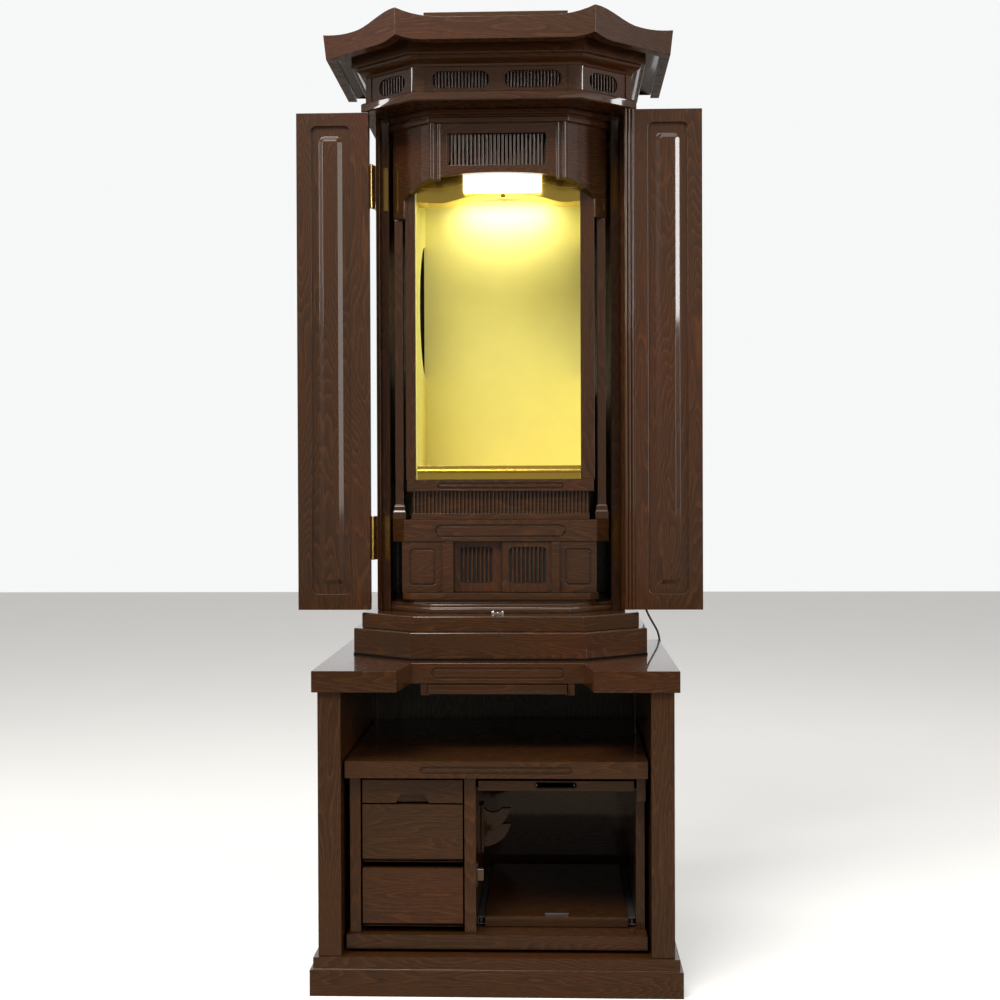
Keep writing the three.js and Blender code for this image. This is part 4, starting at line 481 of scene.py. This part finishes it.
CORD_ROUTE = (
    (251.6, 498, 640), (255.3, 498, 639.5), (261, 499.5, 632), (266, 501, 617), (271, 503, 600), (280, 506, 578),
    (290, 510, 560), (298, 512, 545), (302, 514, 528), (304, 516, 505), (304, 517, 465), (301, 517, 400),
    (296, 517, 320), (291, 517, 240), (287, 517, 160), (284, 518, 90), (281, 522, 44), (276, 528, 18),
    (265, 532, 5), (250, 533, 2.3), (234, 533.1, 2.2),
)
COIL_CENTRE = (215, 553)
CORD_TAIL = ((205, 529, 6.2), (196, 530.5, 6.8), (188, 532.5, 7.0), (182.4, 533, 7.0))


def smooth_through(points, steps):
    """Points along a smooth line through the given ones."""
    line = []
    padded = [points[0] * 2 - points[1], *points, points[-1] * 2 - points[-2]]
    for a, b, c, d in zip(padded, padded[1:], padded[2:], padded[3:]):
        for i in range(steps):
            t = i / steps
            line.append(0.5 * (2 * b + (c - a) * t + (2 * a - 5 * b + 4 * c - d) * t ** 2
                               + (3 * b - a - 3 * c + d) * t ** 3))
    line.append(points[-1])
    return line


class ALTAR_OT_stage(bpy.types.Operator):
    """Makes the camera, the floor, the soft lights and the pale surroundings"""

    bl_idname = "altar.stage"
    bl_label = "Stage"

    def execute(self, context):
        stage = context.scene.altar_stage
        data = bpy.data.cameras.new("camera")
        data.lens = stage.lens
        data.sensor_width = 36.0
        data.sensor_fit = "HORIZONTAL"
        data.clip_end = 60.0
        camera = bpy.data.objects.new("camera", data)
        # Columns: right, forward and up, turned by yaw, pitch and roll
        turn = Matrix.Rotation(stage.yaw, 3, "Z") @ Matrix.Rotation(stage.pitch, 3, "X")
        turn = turn @ Matrix.Rotation(stage.roll, 3, "Y")
        right, forward, up = turn.col[0], turn.col[1], turn.col[2]
        pose = Matrix((right, up, -forward)).transposed().to_4x4()
        camera.matrix_world = Matrix.Translation(at(*stage.eye)) @ pose
        context.collection.objects.link(camera)
        context.scene.camera = camera

        bm = bmesh.new()
        bmesh.ops.create_grid(bm, x_segments=2, y_segments=2, size=9.0)
        mesh = bpy.data.meshes.new("floor")
        bm.to_mesh(mesh)
        bm.free()
        material, tree, shader = new_material("floor_paint")
        noise = add_node(tree, "ShaderNodeTexNoise", {"Scale": 3.0, "Detail": 2.0})
        tree.links.new(coordinates(tree, (1, 1, 1)), noise.inputs["Vector"])
        shade = ramp(tree, [(0.0, (0.72, 0.72, 0.71)), (1.0, (0.76, 0.76, 0.75))], noise.outputs["Fac"])
        # The floor looks pale, but reflects in the lacquer as a dim warm one
        ray = add_node(tree, "ShaderNodeLightPath")
        dim = mixed(tree, "MIX", (0.26, 0.2, 0.14, 1.0), shade, ray.outputs["Is Camera Ray"])
        tree.links.new(dim, shader.inputs["Base Color"])
        shader.inputs["Roughness"].default_value = 0.7
        glow = add_node(tree, "ShaderNodeMath", {1: 0.35}, operation="MULTIPLY")
        tree.links.new(ray.outputs["Is Camera Ray"], glow.inputs[0])
        tree.links.new(shade, shader.inputs["Emission Color"])
        tree.links.new(glow.outputs[0], shader.inputs["Emission Strength"])
        mesh.materials.append(material)
        floor = bpy.data.objects.new("floor", mesh)
        context.collection.objects.link(floor)

        def area(name, place, target, size, power, colour=(1, 1, 1)):
            light = bpy.data.lights.new(name, "AREA")
            light.shape = "RECTANGLE"
            light.size, light.size_y = size
            light.energy = power
            light.color = colour
            lamp = bpy.data.objects.new(name, light)
            away = Vector(place) - Vector(target)
            lamp.matrix_world = Matrix.Translation(place) @ away.to_track_quat("Z", "Y").to_matrix().to_4x4()
            context.collection.objects.link(lamp)
            return lamp

        lights = [
            area("key_light", (-1.2, -2.2, 3.8), (0, 0, 0.7), (2.4, 1.2), stage.key_power, DAY_TINT),
            area("fill_light", (2.2, -2.6, 1.5), (0, 0, 0.8), (1.6, 1.6), stage.fill_power, DAY_TINT),
            area("top_light", (0.2, -0.4, 3.3), (0, 0, 1.0), (2.6, 2.0), stage.fill_power),
            area("side_light_left", (-2.6, -1.1, 1.95), (0, 0, 1.3), (0.4, 1.1), stage.side_power),
            area("side_light_right", (2.6, -1.1, 1.95), (0, 0, 1.3), (0.4, 1.1), stage.side_power),
            area("niche_light", tuple(at(6, 425, 1360)), tuple(at(6, 462, 1305)), (0.17, 0.04),
                 stage.niche_power, LAMP_TINT),
        ]
        soft = area("niche_fill", tuple(at(20, 272, 1215)), tuple(at(20, 470, 1215)), (0.24, 0.22),
                    stage.niche_fill, LAMP_TINT)
        soft.visible_glossy = False
        lights.append(soft)

        # The wall behind looks white, also in reflections, while the room in front is dimmer
        world = bpy.data.worlds.new("studio")
        world.use_nodes = True
        tree = world.node_tree
        room = next(n for n in tree.nodes if n.type == "BACKGROUND")
        out = next(n for n in tree.nodes if n.type == "OUTPUT_WORLD")
        wall = add_node(tree, "ShaderNodeBackground", {"Color": (0.93, 0.935, 0.94, 1.0), "Strength": 1.0})
        room.inputs["Color"].default_value = (1.0, 0.95, 0.9, 1.0)
        room.inputs["Strength"].default_value = stage.world_strength
        ray = add_node(tree, "ShaderNodeLightPath")
        heading = add_node(tree, "ShaderNodeTexCoord")
        axes = add_node(tree, "ShaderNodeSeparateXYZ")
        tree.links.new(heading.outputs["Generated"], axes.inputs["Vector"])
        behind = add_node(tree, "ShaderNodeMapRange", {1: 0.5, 2: 0.8, 3: 0.0, 4: 0.9}, interpolation_type="SMOOTHSTEP")
        tree.links.new(axes.outputs["Y"], behind.inputs[0])
        mirrored = add_node(tree, "ShaderNodeMath", operation="MULTIPLY")
        tree.links.new(behind.outputs[0], mirrored.inputs[0])
        tree.links.new(ray.outputs["Is Glossy Ray"], mirrored.inputs[1])
        seen = add_node(tree, "ShaderNodeMath", operation="MAXIMUM")
        tree.links.new(mirrored.outputs[0], seen.inputs[0])
        tree.links.new(ray.outputs["Is Camera Ray"], seen.inputs[1])
        either = add_node(tree, "ShaderNodeMixShader")
        tree.links.new(seen.outputs[0], either.inputs["Fac"])
        tree.links.new(room.outputs["Background"], either.inputs[1])
        tree.links.new(wall.outputs["Background"], either.inputs[2])
        tree.links.new(either.outputs["Shader"], out.inputs["Surface"])
        context.scene.world = world
        context.scene.view_settings.view_transform = "Standard"
        return {"FINISHED"}


class ALTAR_OT_cord(bpy.types.Operator):
    """Makes the lamp's cord with its strain relief, coil and plug"""

    bl_idname = "altar.cord"
    bl_label = "Cord"

    def execute(self, context):
        sizes = context.scene.altar_cord
        sheath = plastic("cord_sheath", (0.012, 0.012, 0.012), 0.42)
        points = smooth_through([at(*p) for p in CORD_ROUTE], 2)
        floor_z = 0.0022
        centre = at(*COIL_CENTRE, 0)
        steps = 24
        inner_turns, outer_turns, change = 4, 3, 8

        def ring(turn, radius, z):
            angle = -math.pi / 2 - turn * 2 * math.pi
            return Vector((centre.x + radius * math.cos(angle), centre.y + radius * math.sin(angle), z))

        for i in range(inner_turns * steps + 1):
            points.append(ring(i / steps, sizes.inner_radius, floor_z + sizes.rise * i / steps))
        top = floor_z + sizes.rise * inner_turns
        wider = sizes.outer_radius - sizes.inner_radius
        for i in range(1, outer_turns * steps + 1):
            radius = sizes.inner_radius + wider * min(i / change, 1.0)
            points.append(ring(inner_turns + i / steps, radius, top - sizes.rise * i / steps))
        points.extend(smooth_through([points[-1], *[at(*p) for p in CORD_TAIL]], 2)[1:])

        curve = bpy.data.curves.new("power_cord_finished", "CURVE")
        curve.dimensions = "3D"
        curve.bevel_depth = sizes.diameter / 2
        curve.bevel_resolution = 3
        curve.use_fill_caps = True
        spline = curve.splines.new("POLY")
        spline.points.add(len(points) - 1)
        for place, point in zip(spline.points, points):
            place.co = (*point, 1.0)
        cord = bpy.data.objects.new("power_cord_finished", curve)
        context.collection.objects.link(cord)
        curve.materials.append(sheath)
        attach(cord, "cabinet")
        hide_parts("power_cord", "cord_coil")

        bm = bmesh.new()
        rod_into(bm, (225.3, 498, 640), (230.3, 498, 640), 4.5, segments=20)
        for i in range(6):
            x = 230.3 + i * 3.4
            radius = 4.1 - i * 0.22
            rod_into(bm, (x, 498, 640), (x + 2.4, 498, 640), radius, radius - 0.1, 20)
            rod_into(bm, (x + 2.2, 498, 640), (x + 3.6, 498, 640), radius - 0.9, radius - 1.0, 20)
        relief = finish_mesh("cord_relief_finished", bm, sheath)
        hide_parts("cord_relief")

        bm = bmesh.new()
        box_into(bm, (148, 521, 0.1), (182, 545, 13.9), 3.0, 3)
        rod_into(bm, (181, 533, 7), (186.5, 533, 7), 3.4, 2.6, 16)
        for x in (170, 173, 176):
            box_into(bm, (x, 520.9, 3), (x + 1.4, 545.1, 11), 0.3, 1)
        plug = finish_mesh("plug_finished", bm, plastic("plug_shell", (0.014, 0.014, 0.014), 0.38))
        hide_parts("plug")
        bm = bmesh.new()
        for y in (526, 538.5):
            box_into(bm, (132.2, y, 4), (149, y + 1.5, 10.4), 0.3, 1)
        pins = finish_mesh("plug_pins", bm, metal("pin_nickel", (0.75, 0.74, 0.7), 0.2))

        return {"FINISHED"}


class ALTAR_OT_stand(bpy.types.Operator):
    """Dresses the stand"""

    bl_idname = "altar.stand"
    bl_label = "Stand"

    def execute(self, context):
        dress_group(STAND_NODES, 0.9)
        dress("stand_back", wood("wood_stand_back", UPRIGHT, 4.0, plain=True), 0.5)

        # Socket on the stand's back
        bm = bmesh.new()
        box_into(bm, (-27, 490.6, 388), (20, 492.8, 411), 0.8, 2)
        for x in (-16, 1):
            for z in (393, 401):
                box_into(bm, (x, 490.1, z), (x + 8, 490.8, z + 3), 0.2, 1)
        # Strips that close the joints between the back and the sides
        strips = bmesh.new()
        for x0, x1 in ((-252.7, -249.6), (249.6, 252.7)):
            box_into(strips, (x0, 489.5, 64), (x1, 492.8, 493), 0.8, 2)
        finish_mesh("back_strips", strips, wood("wood_back_strips", UPRIGHT, 4.6, plain=True))
        finish_mesh("back_socket", bm, plastic("socket_brown", (0.02, 0.018, 0.014), 0.35))
        return {"FINISHED"}


class ALTAR_OT_unit(bpy.types.Operator):
    """Dresses the stand's inner unit with its drawers, board, tray and hooks"""

    bl_idname = "altar.unit"
    bl_label = "Inner unit"

    def execute(self, context):
        dress_group(UNIT_NODES, 0.8)
        dress("board_pull", plastic("pull_black", (0.008, 0.008, 0.008), 0.25), 0.4)
        nickel = metal("unit_nickel", (0.72, 0.71, 0.68), 0.18)

        # Bright tips inside the board's pull
        bm = bmesh.new()
        for x in (66.5, 128.5):
            dome_into(bm, (x, 43.2, 336.7), 2.6, 0.5)
        finish_mesh("pull_tips", bm, nickel, "pull_out_board")

        # Steel runners on both sides of the tray
        steel = metal("runner_steel", (0.2, 0.19, 0.18), 0.45)
        bronze = metal("catch_bronze", (0.2, 0.145, 0.12), 0.35)
        for side, x0 in (("left", -33.4), ("right", 219.0)):
            bm = bmesh.new()
            box_into(bm, (x0, 84, 94), (x0 + 11.6, 420, 96), 0.3, 1)
            box_into(bm, (x0, 84, 105), (x0 + 11.6, 420, 107), 0.3, 1)
            box_into(bm, (x0, 84, 94.5), (x0 + 1.5, 420, 106.5), 0.3, 1)
            box_into(bm, (x0 + 4, 86, 97), (x0 + 7.6, 418, 104), 0.6, 2)
            finish_mesh("tray_runner_" + side, bm, steel)

        # Small pull on the tray
        bm = bmesh.new()
        box_into(bm, (79, 88, 108.6), (119, 96, 111.6), 1.2, 2)
        finish_mesh("tray_pull", bm, steel, "tray")

        # Catch on the partition
        bm = bmesh.new()
        box_into(bm, (-33.9, 46, 166), (-32.2, 60, 206), 0.4, 1)
        box_into(bm, (-33.0, 48, 176), (-21.5, 57, 196), 1.5, 3)
        dome_into(bm, (-32.2, 53, 171), 2.2, 0.5, "X")
        dome_into(bm, (-32.2, 53, 201), 2.2, 0.5, "X")
        finish_mesh("unit_catch", bm, bronze)
        return {"FINISHED"}


class ALTAR_OT_base(bpy.types.Operator):
    """Dresses the base steps and the felt under them"""

    bl_idname = "altar.base"
    bl_label = "Base steps"

    def execute(self, context):
        dress_group(BASE_NODES, 0.9)
        dress("base_mat", felt("black_felt"), 0.3, 1)
        nickel = metal("sill_nickel", (0.72, 0.71, 0.68), 0.18)
        bm = bmesh.new()
        box_into(bm, (-14, 208, 605.1), (8, 222, 607.2), 0.4, 1)
        for x in (-13.5, 3.5):
            box_into(bm, (x, 209, 606.5), (x + 4, 221, 610.2), 1.2, 3)
        dome_into(bm, (-3, 215, 607.2), 2.0, 0.5, "Z")
        finish_mesh("floor_catch", bm, nickel)
        return {"FINISHED"}


class ALTAR_OT_walls(bpy.types.Operator):
    """Dresses the cabinet's walls, posts and back"""

    bl_idname = "altar.walls"
    bl_label = "Walls and posts"

    def execute(self, context):
        dress_group(WALL_NODES, 0.8)
        dress("cabinet_back", wood("wood_cabinet_back", UPRIGHT, 9.0, plain=True), 0.5)
        return {"FINISHED"}


class ALTAR_OT_lower(bpy.types.Operator):
    """Dresses the cupboard row, shelves and ribbed panels"""

    bl_idname = "altar.lower"
    bl_label = "Lower altar"

    def execute(self, context):
        dress_group(ALTAR_NODES, 0.5)

        # Round faces on the slats of the sliding doors
        for node, x0, x1 in (("sliding_door_left", -75, -13), ("sliding_door_right", 15, 83)):
            bm = bmesh.new()
            reeds_into(bm, x0, x1, 656, 720, 9, 7.6, 4, DOOR_FRONTS[node] + 2.5)
            finish_mesh(node + "_reeds", bm, wood("wood_reeds_" + node, UPRIGHT, 2.2, 0.14), node)
        return {"FINISHED"}


class ALTAR_OT_niche(bpy.types.Operator):
    """Gilds the niche and lights its lamp"""

    bl_idname = "altar.niche"
    bl_label = "Gold niche"

    def execute(self, context):
        gold = leaf_gold("gold_leaf")
        for node in ("gold_back", "gold_side_left", "gold_side_right"):
            dress(node, gold, 0.3)
        polished = leaf_gold("gold_leaf_polished", True)
        for node in ("gold_floor", "gold_arch"):
            dress(node, polished, 0.6)
        dress("lamp", diffuser("lamp_opal"), 2.0, 3)
        bm = bmesh.new()
        dome_into(bm, (6, 304, 1358), 5.0, 0.7, "Z")
        finish_mesh("arch_knob", bm, polished)
        return {"FINISHED"}


class ALTAR_OT_crown(bpy.types.Operator):
    """Dresses the valance, transom, cornice and roof"""

    bl_idname = "altar.crown"
    bl_label = "Crown"

    def execute(self, context):
        dress_group(CROWN_NODES, 0.5)

        # Round faces on the slats of the valance's grille
        bm = bmesh.new()
        pitch, count, middle = 7.0, 24, -3.0
        for i in range(count):
            x = middle + (i - (count - 1) / 2) * pitch
            rod_into(bm, (x, 236.5, 1400), (x, 236.5, 1453.8), 2.3, segments=14)
        # Round faces on the slats of the transom's four openings
        for side in (-1, 1):
            inner, outer = sorted((side * 13, side * 112))
            reeds_into(bm, inner, outer, 1521, 1549, 14, 5.8, 3, 176)

            def canted(x, y, z, side=side):
                return (
                    side * (TRANSOM_CORNER[0] + x * math.cos(CANT) - y * math.sin(CANT)),
                    TRANSOM_CORNER[1] + x * math.sin(CANT) + y * math.cos(CANT), z,
                )
            reeds_into(bm, 25, 88.3, 1521, 1549, 14, 6.8, 3.5, 5, canted)
        finish_mesh("grille_reeds", bm, wood("wood_grille_reeds", UPRIGHT, 3.1, 0.14))
        return {"FINISHED"}


class ALTAR_OT_doors(bpy.types.Operator):
    """Dresses the folding doors and their butt hinges"""

    bl_idname = "altar.doors"
    bl_label = "Doors"

    def execute(self, context):
        dress_group(DOOR_NODES, 0.8)
        brass = metal("hinge_brass_polished", tuple(context.scene.altar_look.brass), 0.16)
        for side, sign in (("left", -1), ("right", 1)):
            for level, z in (("low", 737), ("high", 1373)):
                node = f"hinge_{level}_{side}"
                dress(node, brass, 0.3, 1)
        return {"FINISHED"}


class ALTAR_PT_panel(bpy.types.Panel):
    """Shows the cabinet's settings and the steps that build it"""

    bl_idname = "ALTAR_PT_panel"
    bl_label = "Altar cabinet"
    bl_space_type = "VIEW_3D"
    bl_region_type = "UI"
    bl_category = "Altar"

    def draw(self, context):
        layout = self.layout
        for owner in (context.scene.altar_look, context.scene.altar_stage, context.scene.altar_cord):
            box = layout.box()
            for name in owner.bl_rna.properties.keys():
                if name not in ("rna_type", "name"):
                    box.prop(owner, name)
        for step in STEPS:
            layout.operator(step.bl_idname)


STEPS = (ALTAR_OT_stage, ALTAR_OT_cord, ALTAR_OT_stand, ALTAR_OT_unit, ALTAR_OT_base, ALTAR_OT_walls,
         ALTAR_OT_lower, ALTAR_OT_niche, ALTAR_OT_crown, ALTAR_OT_doors)
GROUPS = {"altar_look": AltarLook, "altar_stage": AltarStage, "altar_cord": CordSizes}


def register():
    for cls in (*GROUPS.values(), *STEPS, ALTAR_PT_panel):
        bpy.utils.register_class(cls)
    for name, cls in GROUPS.items():
        setattr(bpy.types.Scene, name, bpy.props.PointerProperty(type=cls))


def unregister():
    for name in GROUPS:
        delattr(bpy.types.Scene, name)
    for cls in reversed((*GROUPS.values(), *STEPS, ALTAR_PT_panel)):
        bpy.utils.unregister_class(cls)


def main():
    register()
    for step in STEPS:
        space, name = step.bl_idname.split(".")
        getattr(getattr(bpy.ops, space), name)()


if __name__ == "__main__":
    main()
